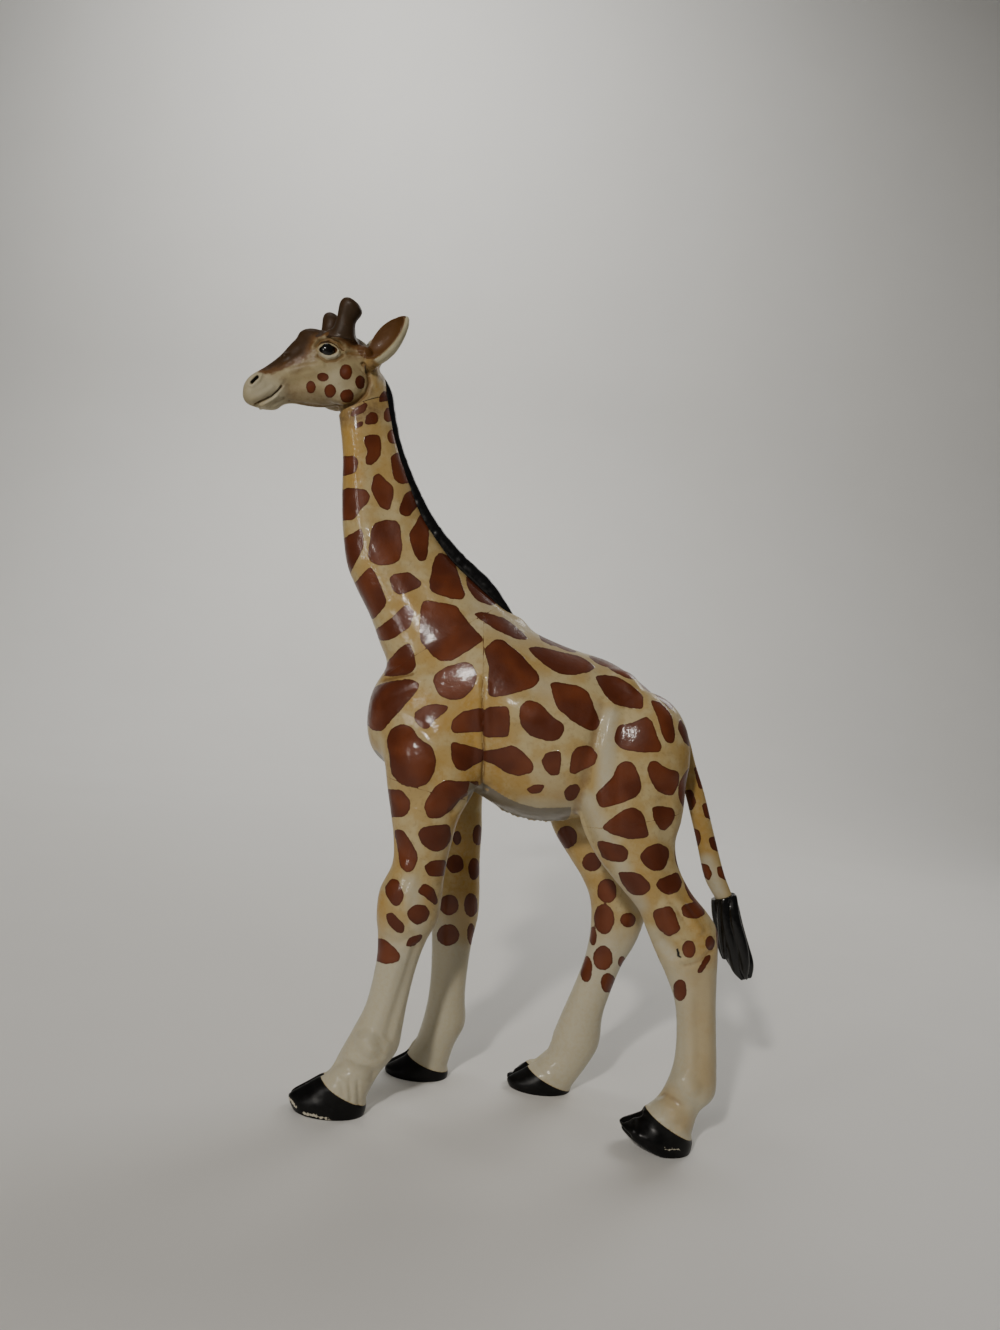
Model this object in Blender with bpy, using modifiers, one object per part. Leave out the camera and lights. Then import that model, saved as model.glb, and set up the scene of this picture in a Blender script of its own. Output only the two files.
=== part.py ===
"""Toy giraffe figure, standing, facing -X with its left side towards -Y.

The animal is sculpted as a whole from lofted limbs and muscle swellings, then parted into the
mouldings that a vinyl figure is glued together from. Measures are in millimetres until the end.
"""
import math

import bmesh
import bpy
import numpy as np
from mathutils import Matrix, Vector

# Driving dimensions, in millimetres
GAP = 0.3
BODY_VOXEL = 0.75
HEAD_VOXEL = 0.42
BODY_TRIANGLES = 5600
HEAD_TRIANGLES = 1900
HEAD_TURN = math.radians(20)
POLL = Vector((-36, 0, 153))
LENGTHWISE_MIDDLE = 0.7
SOLE_LEVEL = 2.2
REACH = 120

# Sections of each limb: front x, front z, back x, back z, middle y, half width
NECK = [
    (-14, 82, 14, 99, 0, 12.5),
    (-24.3, 94.6, 2.5, 106.6, 0, 10.2),
    (-28.9, 103.3, -6, 112.6, 0, 8.2),
    (-34.1, 111.6, -14.2, 119.2, 0, 6.8),
    (-36.6, 119.6, -19.8, 126, 0, 5.9),
    (-37.9, 128.4, -24, 134, 0, 5.4),
    (-38.7, 137, -27.4, 141.5, 0, 5.1),
    (-40.4, 145, -29.6, 148.5, 0, 4.8),
    (-42, 151, -31.3, 154.6, 0, 4.5),
]
# Sections of the trunk: top x, top z, bottom x, bottom z, middle y, half width
TRUNK = [
    (-27, 87.2, -27, 80, 0, 3.8),
    (-25.2, 91.2, -25.2, 75, 0, 8.8),
    (-20.6, 98, -20.6, 71.6, 0, 12.2),
    (-12, 105.5, -14, 69, 0, 14.5),
    (-3, 108.2, -4, 69, 0, 15.6),
    (6.4, 104.3, 4.6, 65.3, 0, 16.3),
    (14.9, 101.6, 12.5, 64.2, 0, 16.9),
    (24, 99.6, 21, 65.8, 0, 16.2),
    (32.6, 94.6, 30, 66.5, 0, 14),
    (38, 89.8, 36.5, 67.5, 0, 10.5),
    (41.4, 85, 40.8, 71, 0, 5),
]
LEFT_FORELEG = [
    (-21, 86, 0, 88, -8.5, 6),
    (-21.6, 77, -1, 78, -10.6, 6.2),
    (-20.6, 70.6, -2, 70.8, -11.2, 5.9),
    (-19, 64.6, -4.7, 64.4, -11.6, 5.4),
    (-17.6, 58.8, -5.7, 58.7, -11.9, 4.9),
    (-17.3, 53.6, -6.3, 53.5, -12, 4.5),
    (-19.2, 48.2, -6.4, 48, -12, 5.1),
    (-19.3, 43, -6.7, 43.2, -12, 5),
    (-18.6, 38.6, -8.6, 38.6, -12, 4),
    (-18.6, 33, -10, 33, -12, 3.5),
    (-20.2, 25, -11, 25.6, -12, 3.4),
    (-22, 19.5, -11.4, 20.2, -12, 4),
    (-23.6, 14.6, -12, 15.7, -12, 4.8),
    (-25.8, 10.6, -15.2, 10.6, -12, 4.2),
    (-28, 7.6, -17.6, 4.6, -12, 4.5),
]
RIGHT_FORELEG = [
    (-20, 86, 1, 88, 8.5, 6),
    (-19.6, 77, 0, 78, 10.4, 6.2),
    (-17.6, 70.6, -0.4, 70.8, 10.8, 5.9),
    (-15, 64.6, -0.4, 64.4, 11, 5.4),
    (-12.4, 58.8, 0.2, 58.7, 11, 4.9),
    (-11.1, 53.6, 0.4, 53.5, 11, 4.5),
    (-11.4, 48.2, 0.9, 48, 11, 5.1),
    (-10.8, 43, 1.4, 43.2, 11, 5),
    (-9.4, 38.6, 1.5, 38.6, 11, 4),
    (-8.4, 33, 0.8, 33, 11, 3.5),
    (-7.7, 25, 0.5, 25.6, 11, 3.4),
    (-7.7, 19.5, 0.7, 20, 11, 4),
    (-8.3, 14.4, 1.3, 14.6, 11, 4.7),
    (-9.4, 10, -0.6, 9.6, 11, 4.2),
    (-11.5, 6.4, -1.9, 3.6, 11, 4.3),
]
LEFT_HIND_LEG = [
    (18, 92, 37, 90, -7, 5.5),
    (17.2, 82, 40, 82, -9, 7),
    (17.4, 76, 40.9, 75.5, -10, 7.2),
    (18.8, 70.2, 40.6, 69, -11.2, 6.7),
    (20.7, 64.8, 39.7, 64.5, -11.6, 6),
    (24.5, 59.2, 40.8, 59.6, -11.9, 5.3),
    (29.4, 54.2, 44, 54.6, -12, 4.8),
    (33.6, 50, 47.8, 50.8, -12, 4.6),
    (35.8, 46, 50.2, 47.4, -12, 4.7),
    (38.2, 41.6, 50.8, 42.3, -12, 4.4),
    (40.9, 37, 51.2, 37, -12, 3.8),
    (43.2, 32, 51.6, 32.2, -12, 3.5),
    (44.3, 25.6, 52.4, 25.6, -12, 3.5),
    (44.4, 19.6, 53.1, 20, -12, 4),
    (43.3, 14.9, 53.3, 14.4, -12, 4.6),
    (41.6, 11.6, 50.5, 10.8, -12, 4.3),
    (39, 9.4, 49.4, 5.4, -12, 4.5),
]
RIGHT_HIND_LEG = [
    (18, 92, 37, 90, 7, 5.5),
    (16, 82, 38.6, 82, 9, 7),
    (14.8, 76, 39, 75.5, 10, 7.2),
    (13.6, 70.2, 38, 69.5, 10.8, 6.7),
    (14.4, 65, 36, 64.5, 11, 6),
    (16.6, 60, 35, 59.5, 11, 5.3),
    (20.6, 54.8, 35.6, 55, 11, 4.8),
    (24, 50.4, 37.6, 50.8, 11, 4.6),
    (26.2, 46.2, 39.4, 46.6, 11, 4.7),
    (27, 41.6, 38.8, 41.2, 11, 4.4),
    (27.1, 37, 37.3, 36.4, 11, 3.8),
    (26.5, 32, 35.1, 31.8, 11, 3.5),
    (24.8, 25.6, 33.3, 25.6, 11, 3.5),
    (23, 19.9, 32.1, 20, 11, 4),
    (21.4, 14.4, 32, 13.8, 11, 4.6),
    (20.4, 10.4, 30.4, 9.6, 11, 4.2),
    (16.4, 6.6, 26.6, 3, 11, 4.3),
]
HOOF = [
    (-4.4, 9.1, 5.2, 6.2, 0, 4.4),
    (-7.3, 6.8, 5.6, 5, 0, 4.7),
    (-10, 4.7, 5.8, 3.8, 0, 4.9),
    (-10.1, 3.4, 5.6, 2.6, 0, 4.9),
    (-9.2, 1.6, 5.2, 1.2, 0, 4.7),
    (-8, 0, 4.8, 0, 0, 4.3),
]
# Where each hoof stands, x and y, with its length and height beside the hoof above, and its toe's rise
HOOVES = {
    "left_fore": (-22.7, -12, 1, 1, 0.8),
    "right_fore": (-6.5, 11, 0.91, 0.78, 0),
    "left_hind": (44.4, -12, 0.96, 1, 4.2),
    "right_hind": (21.4, 11, 0.93, 0.85, 0.5),
}
# Sections of the head before it is turned, from the nape to the muzzle
HEAD = [
    (-33.2, 157.4, -35, 147, 0, 4.3),
    (-36.4, 161.4, -37, 149.4, 0, 4.9),
    (-40, 162.8, -41, 147.6, 0, 5.5),
    (-44, 162.8, -44.5, 146.5, 0, 5.7),
    (-47.4, 162.3, -48, 146.2, 0, 5),
    (-49.8, 161.4, -50, 146.2, 0, 4.1),
    (-51.9, 159.2, -51.8, 145.8, 0, 3.5),
    (-54.3, 155.6, -53.5, 144.8, 0, 3.2),
    (-57.1, 152.6, -56.5, 144, 0, 3.1),
    (-59.2, 150.8, -58.8, 144, 0, 3.1),
    (-60.5, 149.2, -60.3, 144.7, 0, 2.5),
    (-61, 147.8, -60.9, 145.8, 0, 1.4),
]
NECK_STUB = [
    (-39, 139, -28.4, 143, 0, 5),
    (-40, 145, -29.6, 148.5, 0, 4.8),
    (-42, 151, -31.3, 154.6, 0, 4.5),
    (-43, 155, -34, 157, 0, 3.6),
]
# Swellings on each side of the body: middle x, y, z, half sizes x, y, z, lean in degrees
BODY_SWELLINGS = [
    (-9.5, 9.6, 89, 7.6, 6.6, 16, 22),
    (-16.5, 8.6, 79.5, 6.6, 6, 8.6, 10),
    (-10.5, 10, 75, 8.4, 6.4, 8, 0),
    (30.6, 9.2, 80, 10.8, 8.6, 14.5, 4),
    (25.2, 7, 93.6, 5, 4.6, 5, 20),
    (35, 8, 72, 6, 6, 9, 0),
]
BODY_RIDGES = [
    (-3, 0, 104, 8.6, 3.6, 3.6, -12),
]
HEAD_SWELLINGS = [
    (-41.4, 3.3, 152, 5.2, 2.7, 5, 0),
    (-50, 2.4, 153.6, 5, 1, 1.4, 22),
    (-57.8, 1.5, 148, 2.9, 1.9, 2.6, 30),
    (-42.6, 3.2, 160.8, 3.6, 2.6, 2.2, 0),
    (-37.6, 4, 157.6, 2.4, 2, 2.6, 0),
    (-45.3, 3.9, 157.25, 2.7, 1.75, 2, -10),
]
HEAD_RIDGES = [
    (-47.6, 0, 160.4, 3.6, 3, 2.2, 0),
    (-56, 0, 145, 3, 2.3, 1.2, 0),
]
# Grooves, as points on the left side: x, y, z
MOUTH = [(-53.6, -3.4, 148), (-55.8, -3.4, 146.6), (-58, -3.2, 145), (-59.6, -2.4, 144.2)]
NOSTRIL = [(-60.2, -2.6, 148.2), (-59.2, -3.1, 149.6)]
EYE = (-45.4, 4.3, 157.3)
EYE_RADIUS = 1.75
OSSICONE = [
    (-45.8, 160.1, -39.9, 160.1, 3.4, 2.7),
    (-45.2, 161.4, -40.9, 161.6, 4.1, 2.2),
    (-44.7, 164.2, -41.2, 164, 4.9, 1.9),
    (-44.6, 166.3, -40.4, 165.5, 5.4, 2.1),
    (-44.5, 167.5, -40.2, 166.3, 5.7, 2.1),
    (-44.1, 168.4, -40.7, 167.3, 5.9, 1.6),
    (-43.4, 168.8, -41.8, 168.2, 5.9, 0.9),
]
# The left ossicone stands this much further back, and the right one further forward
OSSICONE_SKEW = 0.75
# The ear stands along its own +Z and opens towards its -X
EAR = [
    (-1.2, -1, 1.3, -1, 0, 1.4),
    (-1.5, 1.8, 1.7, 1.8, -0.1, 2.3),
    (-1.9, 4.6, 2.3, 4.6, -0.45, 3.8),
    (-2, 7.4, 2.4, 7.4, -0.55, 4.3),
    (-1.7, 10.2, 1.9, 10.2, -0.45, 3.6),
    (-1, 12.6, 1.1, 12.6, -0.15, 2),
    (-0.3, 13.8, 0.3, 13.8, 0, 0.5),
]
EAR_HOLLOW = (-2.5, -0.5, 7.6, 4.2, 3.85, 5.9, 0)
EAR_FOOT = (-37, 4.2, 155.8)
EAR_TIP = (-30.8, 11, 165.4)
EAR_OPENING = (-0.95, 0.3, 0.1)
# Sections of the mane: outer edge x, z, inner edge x, z, middle y, half width
MANE = [
    (-32.2, 155.6, -33.4, 154.2, 0, 0.8),
    (-29.8, 152.4, -32.4, 150.6, 0, 1.2),
    (-28.2, 146.8, -31, 146, 0, 1.3),
    (-26.2, 140.9, -29.2, 139.4, 0, 1.3),
    (-22.4, 133.4, -25.6, 131.4, 0, 1.3),
    (-17.2, 125.7, -20, 123.2, 0, 1.3),
    (-10.8, 119.4, -13.2, 116.4, 0, 1.3),
    (-3.7, 114, -6, 110.8, 0, 1.3),
    (0.4, 109.2, -1.6, 107.2, 0, 1.1),
    (2.4, 106.7, 1, 105.6, 0, 0.7),
]
# Sections of the tail: outer edge x, z, inner edge x, z, middle y, half width
TAIL = [
    (38.6, 88.2, 36.4, 85.4, 0, 1.5),
    (41.8, 86.2, 39.4, 82.6, 0, 1.9),
    (44.5, 79.5, 41, 77.9, 0, 1.8),
    (46.9, 74, 43.1, 72.6, 0, 1.8),
    (50.2, 64.9, 46.2, 64, 0, 1.8),
    (53.2, 57, 49, 55.8, 0, 1.8),
    (55.4, 52.6, 51.9, 51.4, 0, 1.8),
    (56.4, 49.6, 53, 49, 0, 1.4),
]
TUFT_LOCKS = [
    [(55.9, 53, 51.5, 51.7, 0, 1.9), (57.6, 47.4, 52.4, 47, 0, 2.9), (59.6, 42.4, 54.4, 41.6, 0, 2.6),
     (61.2, 38.4, 57, 37, 0, 1.8), (61.4, 35.6, 59.4, 34.8, 0, 0.7)],
    [(55.8, 52, 52, 50.6, -0.6, 1.6), (55.9, 46.6, 52.6, 46, -0.9, 1.6), (55.8, 42, 53.4, 41.4, -0.8, 1.2),
     (55.8, 38.9, 54.6, 38.5, -0.6, 0.5)],
    [(56, 52, 53, 51, 0.9, 1.5), (58, 46, 54.6, 45.4, 1.3, 1.6), (59.6, 40.4, 56.8, 39.8, 1.2, 1.2),
     (60, 37, 58.8, 36.6, 0.9, 0.5)],
]
# Parting planes: a point in the plane (x, z) and its lean in degrees, level being 0
TUFT_TOP = ((53.6, 52.2), 23)
NECK_TOP = ((-36.4, 150.4), 37)
NECK_FOOT = ((-11.5, 101), 38)
SHOULDER_SEAM_X = -2
FORELEG_TOP = ((-11, 69.6), -10)
HIND_LEG_TOP = ((30, 68), 15)
HOOF_TOPS = {
    "left_fore": ((-21.9, 6.8), -27),
    "right_fore": ((-6.4, 5.4), -19),
    "left_hind": ((44.6, 7.6), -27),
    "right_hind": ((21.4, 4.8), -24),
}
LEG_INNER_Y = 4.5
FORE_AND_HIND_SPLIT_X = 2.7
HIND_FRONT_X = 9.5

COLOURS = {
    "cream_vinyl": (0.62, 0.55, 0.36),
    "white_vinyl": (0.66, 0.63, 0.53),
    "brown_vinyl": (0.13, 0.055, 0.03),
    "black_vinyl": (0.012, 0.01, 0.009),
}


# Scene and materials
def clear_scene():
    for item in list(bpy.data.objects):
        bpy.data.objects.remove(item, do_unlink=True)


def collection(name):
    group = bpy.data.collections.new(name)
    bpy.context.scene.collection.children.link(group)
    return group


def vinyl(name, colour, roughness):
    material = bpy.data.materials.new(name)
    material.use_nodes = True
    shader = material.node_tree.nodes["Principled BSDF"]
    shader.inputs["Base Color"].default_value = (*colour, 1)
    shader.inputs["Roughness"].default_value = roughness
    shader.inputs["Metallic"].default_value = 0
    material.diffuse_color = (*colour, 1)
    return material


# Forms
def new_object(name, mesh):
    item = bpy.data.objects.new(name, mesh)
    workshop.objects.link(item)
    return item


def faces_out(item):
    shape = bmesh.new()
    shape.from_mesh(item.data)
    bmesh.ops.recalc_face_normals(shape, faces=shape.faces)
    shape.to_mesh(item.data)
    shape.free()
    return item


def mesh_object(name, shape):
    bmesh.ops.recalc_face_normals(shape, faces=shape.faces)
    mesh = bpy.data.meshes.new(name)
    shape.to_mesh(mesh)
    shape.free()
    return new_object(name, mesh)


def between(rows, steps):
    """The rows with smooth in-between rows, on a curve through every row."""
    rows = np.array(rows, dtype=float)
    padded = np.vstack([2 * rows[0] - rows[1], rows, 2 * rows[-1] - rows[-2]])
    out = []
    for i in range(1, len(padded) - 2):
        before, start, end, after = padded[i - 1:i + 3]
        for step in range(steps):
            t = step / steps
            out.append(0.5 * (2 * start + (end - before) * t
                              + (2 * before - 5 * start + 4 * end - after) * t ** 2
                              + (3 * start - before - 3 * end + after) * t ** 3))
    out.append(rows[-1])
    return out


def loft(name, sections, steps=3, sides=20, low=0.0, grow=0.0):
    """A closed skin over elliptic sections; low moves their widest place towards the back point."""
    shape = bmesh.new()
    rings = []
    for front_x, front_z, back_x, back_z, middle_y, half_width in between(sections, steps):
        front, back = Vector((front_x, 0, front_z)), Vector((back_x, 0, back_z))
        middle, half = (front + back) / 2, (front - back) / 2
        half *= 1 + grow / half.length
        ring = []
        for k in range(sides):
            turn = math.tau * k / sides
            place = middle + half * (math.cos(turn) - low * math.sin(turn) ** 2)
            place.y = middle_y + (half_width + grow) * math.sin(turn)
            ring.append(shape.verts.new(place))
        rings.append(ring)
    for ring, following in zip(rings, rings[1:]):
        for k in range(sides):
            n = (k + 1) % sides
            shape.faces.new((ring[k], ring[n], following[n], following[k]))
    shape.faces.new(rings[0])
    shape.faces.new(rings[-1])
    return mesh_object(name, shape)


def swelling(name, x, y, z, half_x, half_y, half_z, lean, segments=20):
    shape = bmesh.new()
    bmesh.ops.create_uvsphere(shape, u_segments=segments, v_segments=segments // 2, radius=1)
    place = (Matrix.Translation((x, y, z)) @ Matrix.Rotation(math.radians(lean), 4, "Y")
             @ Matrix.Diagonal((half_x, half_y, half_z, 1)))
    bmesh.ops.transform(shape, matrix=place, verts=shape.verts)
    return mesh_object(name, shape)


def swellings(paired, single):
    forms = [swelling("swelling", *row) for row in single]
    for x, y, z, *rest in paired:
        forms += [swelling("swelling", x, side * y, z, *rest) for side in (-1, 1)]
    return forms


def hoof_sections(x, y, length, height, toe_rise):
    rows = []
    for front_x, front_z, back_x, back_z, _, half_width in HOOF:
        rise = toe_rise * (1 - front_z / HOOF[0][1])
        rows.append((x + front_x * length, front_z * height + rise, x + back_x * length, back_z * height, y,
                     half_width))
    return rows


def bake(item):
    """Give the object the mesh that its modifiers make."""
    graph = bpy.context.evaluated_depsgraph_get()
    mesh = bpy.data.meshes.new_from_object(item.evaluated_get(graph))
    item.modifiers.clear()
    item.data = mesh
    return item


def join(name, forms):
    whole = bmesh.new()
    for form in forms:
        whole.from_mesh(form.data)
        bpy.data.objects.remove(form)
    return mesh_object(name, whole)


def fuse(item, voxel, smoothing):
    """One skin round overlapping forms, with the creases between them softened."""
    skin = item.modifiers.new("Skin", "REMESH")
    skin.mode = "VOXEL"
    skin.voxel_size = voxel
    soften = item.modifiers.new("Soften", "SMOOTH")
    soften.factor = 0.5
    soften.iterations = smoothing
    return bake(item)


def thin_out(item, triangles):
    count = sum(len(face.vertices) - 2 for face in item.data.polygons)
    decimate = item.modifiers.new("Decimate", "DECIMATE")
    decimate.ratio = min(1, triangles / count)
    return bake(item)


def groove(item, points, width, depth):
    """Press a soft groove into the skin along the points."""
    path = [Vector(p) for p in points]
    normals = [vertex.normal.copy() for vertex in item.data.vertices]
    for vertex, normal in zip(item.data.vertices, normals):
        away = width
        for start, end in zip(path, path[1:]):
            run = end - start
            t = max(0, min(1, (vertex.co - start).dot(run) / run.length_squared))
            away = min(away, (vertex.co - start - run * t).length)
        vertex.co -= normal * depth * (1 - (away / width) ** 2) ** 2


def both_sides(points):
    return [points, [(x, -y, z) for x, y, z in points]]


def turn_head(item):
    turn = Matrix.Translation(POLL) @ Matrix.Rotation(HEAD_TURN, 4, "Z") @ Matrix.Translation(-POLL)
    item.data.transform(turn)
    return item


# Cutting and joining
def block(x_range, y_range, z_range, pivot=None, lean=0):
    """A box between the given limits, leant about its pivot (x, z)."""
    shape = bmesh.new()
    bmesh.ops.create_cube(shape, size=1)
    low = Vector((x_range[0], y_range[0], z_range[0]))
    high = Vector((x_range[1], y_range[1], z_range[1]))
    size = high - low
    place = Matrix.Translation((low + high) / 2) @ Matrix.Diagonal((*size, 1))
    if pivot:
        base = Vector((pivot[0], 0, pivot[1]))
        place = (Matrix.Translation(base) @ Matrix.Rotation(-math.radians(lean), 4, "Y")
                 @ Matrix.Translation(-base) @ place)
    bmesh.ops.transform(shape, matrix=place, verts=shape.verts)
    return mesh_object("block", shape)


def below(plane, gap=GAP / 2):
    """Everything under a parting plane."""
    (x, z), lean = plane
    return block((x - REACH, x + REACH), (-REACH, REACH), (z - REACH, z - gap), (x, z), lean)


def above(plane, gap=GAP / 2):
    (x, z), lean = plane
    return block((x - REACH, x + REACH), (-REACH, REACH), (z + gap, z + REACH), (x, z), lean)


def combine(item, tool, operation):
    change = item.modifiers.new("Boolean", "BOOLEAN")
    change.operation = operation
    change.object = tool
    bake(item)
    bpy.data.objects.remove(tool)
    return item


def copy_of(item, name):
    return new_object(name, item.data.copy())


def portion(item, name, *tools):
    """The part of a form that lies inside every tool."""
    piece = copy_of(item, name)
    for tool in tools:
        combine(piece, tool, "INTERSECT")
    return piece


def peg(base, direction, radius, length):
    shape = bmesh.new()
    bmesh.ops.create_cone(shape, cap_ends=True, segments=12, radius1=radius, radius2=radius * 0.9, depth=length)
    aim = Vector(direction).normalized().to_track_quat("Z", "Y").to_matrix().to_4x4()
    place = Matrix.Translation(base) @ aim @ Matrix.Translation((0, 0, length / 2))
    bmesh.ops.transform(shape, matrix=place, verts=shape.verts)
    return mesh_object("peg", shape)


def pin(carrier, socketed, base, direction, radius=2.4, length=5):
    """A glue peg on one moulding and its socket in the next."""
    start = Vector(base)
    along = Vector(direction).normalized()
    combine(carrier, peg(start - along * 2, along, radius, length + 2), "UNION")
    combine(socketed, peg(start - along * 2, along, radius + GAP, length + 2 + GAP), "DIFFERENCE")


# Sculpting
def limbs():
    forms = [
        loft("neck", NECK, steps=3, low=-0.3),
        loft("left_foreleg", LEFT_FORELEG),
        loft("right_foreleg", RIGHT_FORELEG),
        loft("left_hind_leg", LEFT_HIND_LEG),
        loft("right_hind_leg", RIGHT_HIND_LEG),
    ]
    return forms + [loft("hoof", hoof_sections(*place), steps=2) for place in HOOVES.values()]


def sculpt_body():
    """The trunk and limbs, first with soft hollows between the muscles, then with the limbs' full size."""
    trunk = loft("trunk", TRUNK, steps=3, sides=28, low=0.05)
    soft = join("soft", [trunk] + limbs() + swellings(BODY_SWELLINGS, BODY_RIDGES))
    fuse(soft, BODY_VOXEL * 1.3, 14)
    body = fuse(join("body", [soft] + limbs()), BODY_VOXEL, 5)
    thin_out(body, BODY_TRIANGLES)
    sole_waste = block((-REACH, REACH), (-REACH, REACH), (-REACH, SOLE_LEVEL))
    return combine(body, sole_waste, "DIFFERENCE")


def sculpt_head():
    forms = [loft("skull", HEAD, steps=3, sides=24), loft("neck_stub", NECK_STUB, steps=2)]
    forms += swellings(HEAD_SWELLINGS, HEAD_RIDGES)
    head = fuse(join("head", forms), HEAD_VOXEL, 5)
    for line in both_sides(MOUTH):
        groove(head, line, 0.9, 0.55)
    for line in both_sides(NOSTRIL):
        groove(head, line, 0.9, 0.7)
    thin_out(head, HEAD_TRIANGLES)
    return combine(turn_head(head), above(NECK_TOP), "INTERSECT")


# Pieces
def leg_space(side, x_range, top, gap):
    """The space that a leg takes, under its parting plane and beside the middle."""
    y_range = (LEG_INNER_Y - gap, REACH) if side > 0 else (-REACH, -LEG_INNER_Y + gap)
    space = block((x_range[0] - gap, x_range[1] + gap), y_range, (-REACH, REACH))
    return combine(space, below(top, -gap), "INTERSECT")


def part_legs(body):
    """Part the four legs from the body, and each hoof from its leg."""
    fore_x, hind_x = (-REACH, FORE_AND_HIND_SPLIT_X), (HIND_FRONT_X, REACH)
    plans = {
        "left_fore": (-1, fore_x, FORELEG_TOP),
        "right_fore": (1, fore_x, FORELEG_TOP),
        "left_hind": (-1, hind_x, HIND_LEG_TOP),
        "right_hind": (1, hind_x, HIND_LEG_TOP),
    }
    legs = {}
    for name, (side, x_range, top) in plans.items():
        limb = portion(body, name, leg_space(side, x_range, top, -GAP / 2))
        legs[name + "leg"] = portion(limb, name + "leg", above(HOOF_TOPS[name]))
        legs[name + "_hoof"] = portion(limb, name + "_hoof", below(HOOF_TOPS[name]))
        bpy.data.objects.remove(limb)
    for side, x_range, top in plans.values():
        combine(body, leg_space(side, x_range, top, GAP / 2), "DIFFERENCE")
    return legs


def part_body(body):
    """Part the neck, the front body and the rear body."""
    front = block((-REACH, SHOULDER_SEAM_X - GAP / 2), (-REACH, REACH), (0, 2 * REACH))
    rear = block((SHOULDER_SEAM_X + GAP / 2, REACH), (-REACH, REACH), (0, 2 * REACH))
    return {
        "neck": portion(body, "neck", below(NECK_TOP), above(NECK_FOOT)),
        "front_body": portion(body, "front_body", below(NECK_FOOT), front),
        "rear_body": portion(body, "rear_body", below(NECK_FOOT), rear),
    }


def make_ear(name, side, grow=0.0):
    ear = loft(name, EAR, steps=2, sides=16, grow=grow)
    if grow == 0:
        combine(ear, swelling("hollow", *EAR_HOLLOW, segments=16), "DIFFERENCE")
    foot, tip = Vector(EAR_FOOT), Vector(EAR_TIP)
    up = (tip - foot).normalized()
    back = -Vector(EAR_OPENING)
    back = (back - up * back.dot(up)).normalized()
    across = up.cross(back)
    turn = Matrix((back, across, up)).transposed().to_4x4()
    place = Matrix.Translation(foot) @ turn
    ear.data.transform(Matrix.Diagonal((1, side, 1, 1)) @ place)
    return turn_head(faces_out(ear))


def make_ossicone(name, side, grow=0.0):
    skew = -side * OSSICONE_SKEW
    sections = [(row[0] + skew, row[1], row[2] + skew, row[3], side * row[4], row[5]) for row in OSSICONE]
    return turn_head(loft(name, sections, steps=2, sides=14, grow=grow))


def make_eye(name, side, grow=0.0):
    x, y, z = EYE
    radius = EYE_RADIUS + grow
    return turn_head(swelling(name, x, side * y, z, radius, radius, radius, 0, segments=12))


def make_head_pieces():
    """The head with its ears, ossicones and eyes, each set into a socket of its own shape."""
    pieces = {"head": sculpt_head()}
    makers = {"ear": make_ear, "ossicone": make_ossicone, "eye": make_eye}
    for kind, maker in makers.items():
        for word, side in (("left", -1), ("right", 1)):
            name = word + "_" + kind
            combine(pieces["head"], maker("socket", side, GAP), "DIFFERENCE")
            pieces[name] = maker(name, side)
    return pieces


def make_mane(grow=0.0):
    return loft("mane", MANE, steps=2, sides=8, grow=grow)


def make_tail(grow=0.0):
    return loft("tail", TAIL, steps=2, sides=10, grow=grow)


def make_tuft():
    locks = [loft("lock", sections, steps=3, sides=12) for sections in TUFT_LOCKS]
    tuft = fuse(join("tail_tuft", locks), 0.4, 2)
    thin_out(tuft, 420)
    return combine(tuft, below(TUFT_TOP), "INTERSECT")


def fasten(pieces):
    """The glue pegs that hold the mouldings together."""
    rise, fall = math.radians(NECK_TOP[1]), math.radians(NECK_FOOT[1])
    pin(pieces["neck"], pieces["head"], (-36.4, 0, 150.4), (-math.sin(rise), 0, math.cos(rise)), 2, 4)
    pin(pieces["neck"], pieces["front_body"], (-14, 0, 99), (math.sin(fall), 0, -math.cos(fall)), 3.4, 6)
    for z in (79, 93):
        pin(pieces["front_body"], pieces["rear_body"], (SHOULDER_SEAM_X, 0, z), (1, 0, 0), 3, 6)
    pin(pieces["left_foreleg"], pieces["front_body"], (-11, -10.9, 69.6), (0, 0, 1))
    pin(pieces["right_foreleg"], pieces["front_body"], (-9, 10.8, 69.2), (0, 0, 1))
    pin(pieces["left_hindleg"], pieces["rear_body"], (30, -11.2, 68), (0, 0, 1))
    pin(pieces["right_hindleg"], pieces["rear_body"], (27, 10.8, 67.2), (0, 0, 1))


def material_of(name):
    if name in ("head", "neck", "front_body", "rear_body", "tail"):
        return "cream_vinyl"
    if name.endswith("leg"):
        return "white_vinyl"
    if name.endswith(("ear", "ossicone")):
        return "brown_vinyl"
    return "black_vinyl"


def main():
    body = sculpt_body()
    pieces = part_legs(body)
    pieces.update(part_body(body))
    bpy.data.objects.remove(body)
    pieces.update(make_head_pieces())
    fasten(pieces)
    for name in ("head", "neck", "front_body", "rear_body"):
        combine(pieces[name], make_mane(GAP), "DIFFERENCE")
    pieces["mane"] = make_mane()
    combine(pieces["rear_body"], make_tail(GAP), "DIFFERENCE")
    pieces["tail"] = combine(make_tail(), above(TUFT_TOP), "INTERSECT")
    pieces["tail_tuft"] = make_tuft()

    materials = {name: vinyl(name, colour, 0.35) for name, colour in COLOURS.items()}
    stand = Matrix.Scale(0.001, 4) @ Matrix.Translation((-LENGTHWISE_MIDDLE, 0, -SOLE_LEVEL))
    for name, piece in pieces.items():
        piece.name = name
        piece.data.name = name
        piece.data.transform(stand)
        piece.data.materials.clear()
        piece.data.materials.append(materials[material_of(name)])
        workshop.objects.unlink(piece)
        figure.objects.link(piece)


clear_scene()
workshop = collection("workshop")
figure = collection("toy_giraffe")
main()
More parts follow.
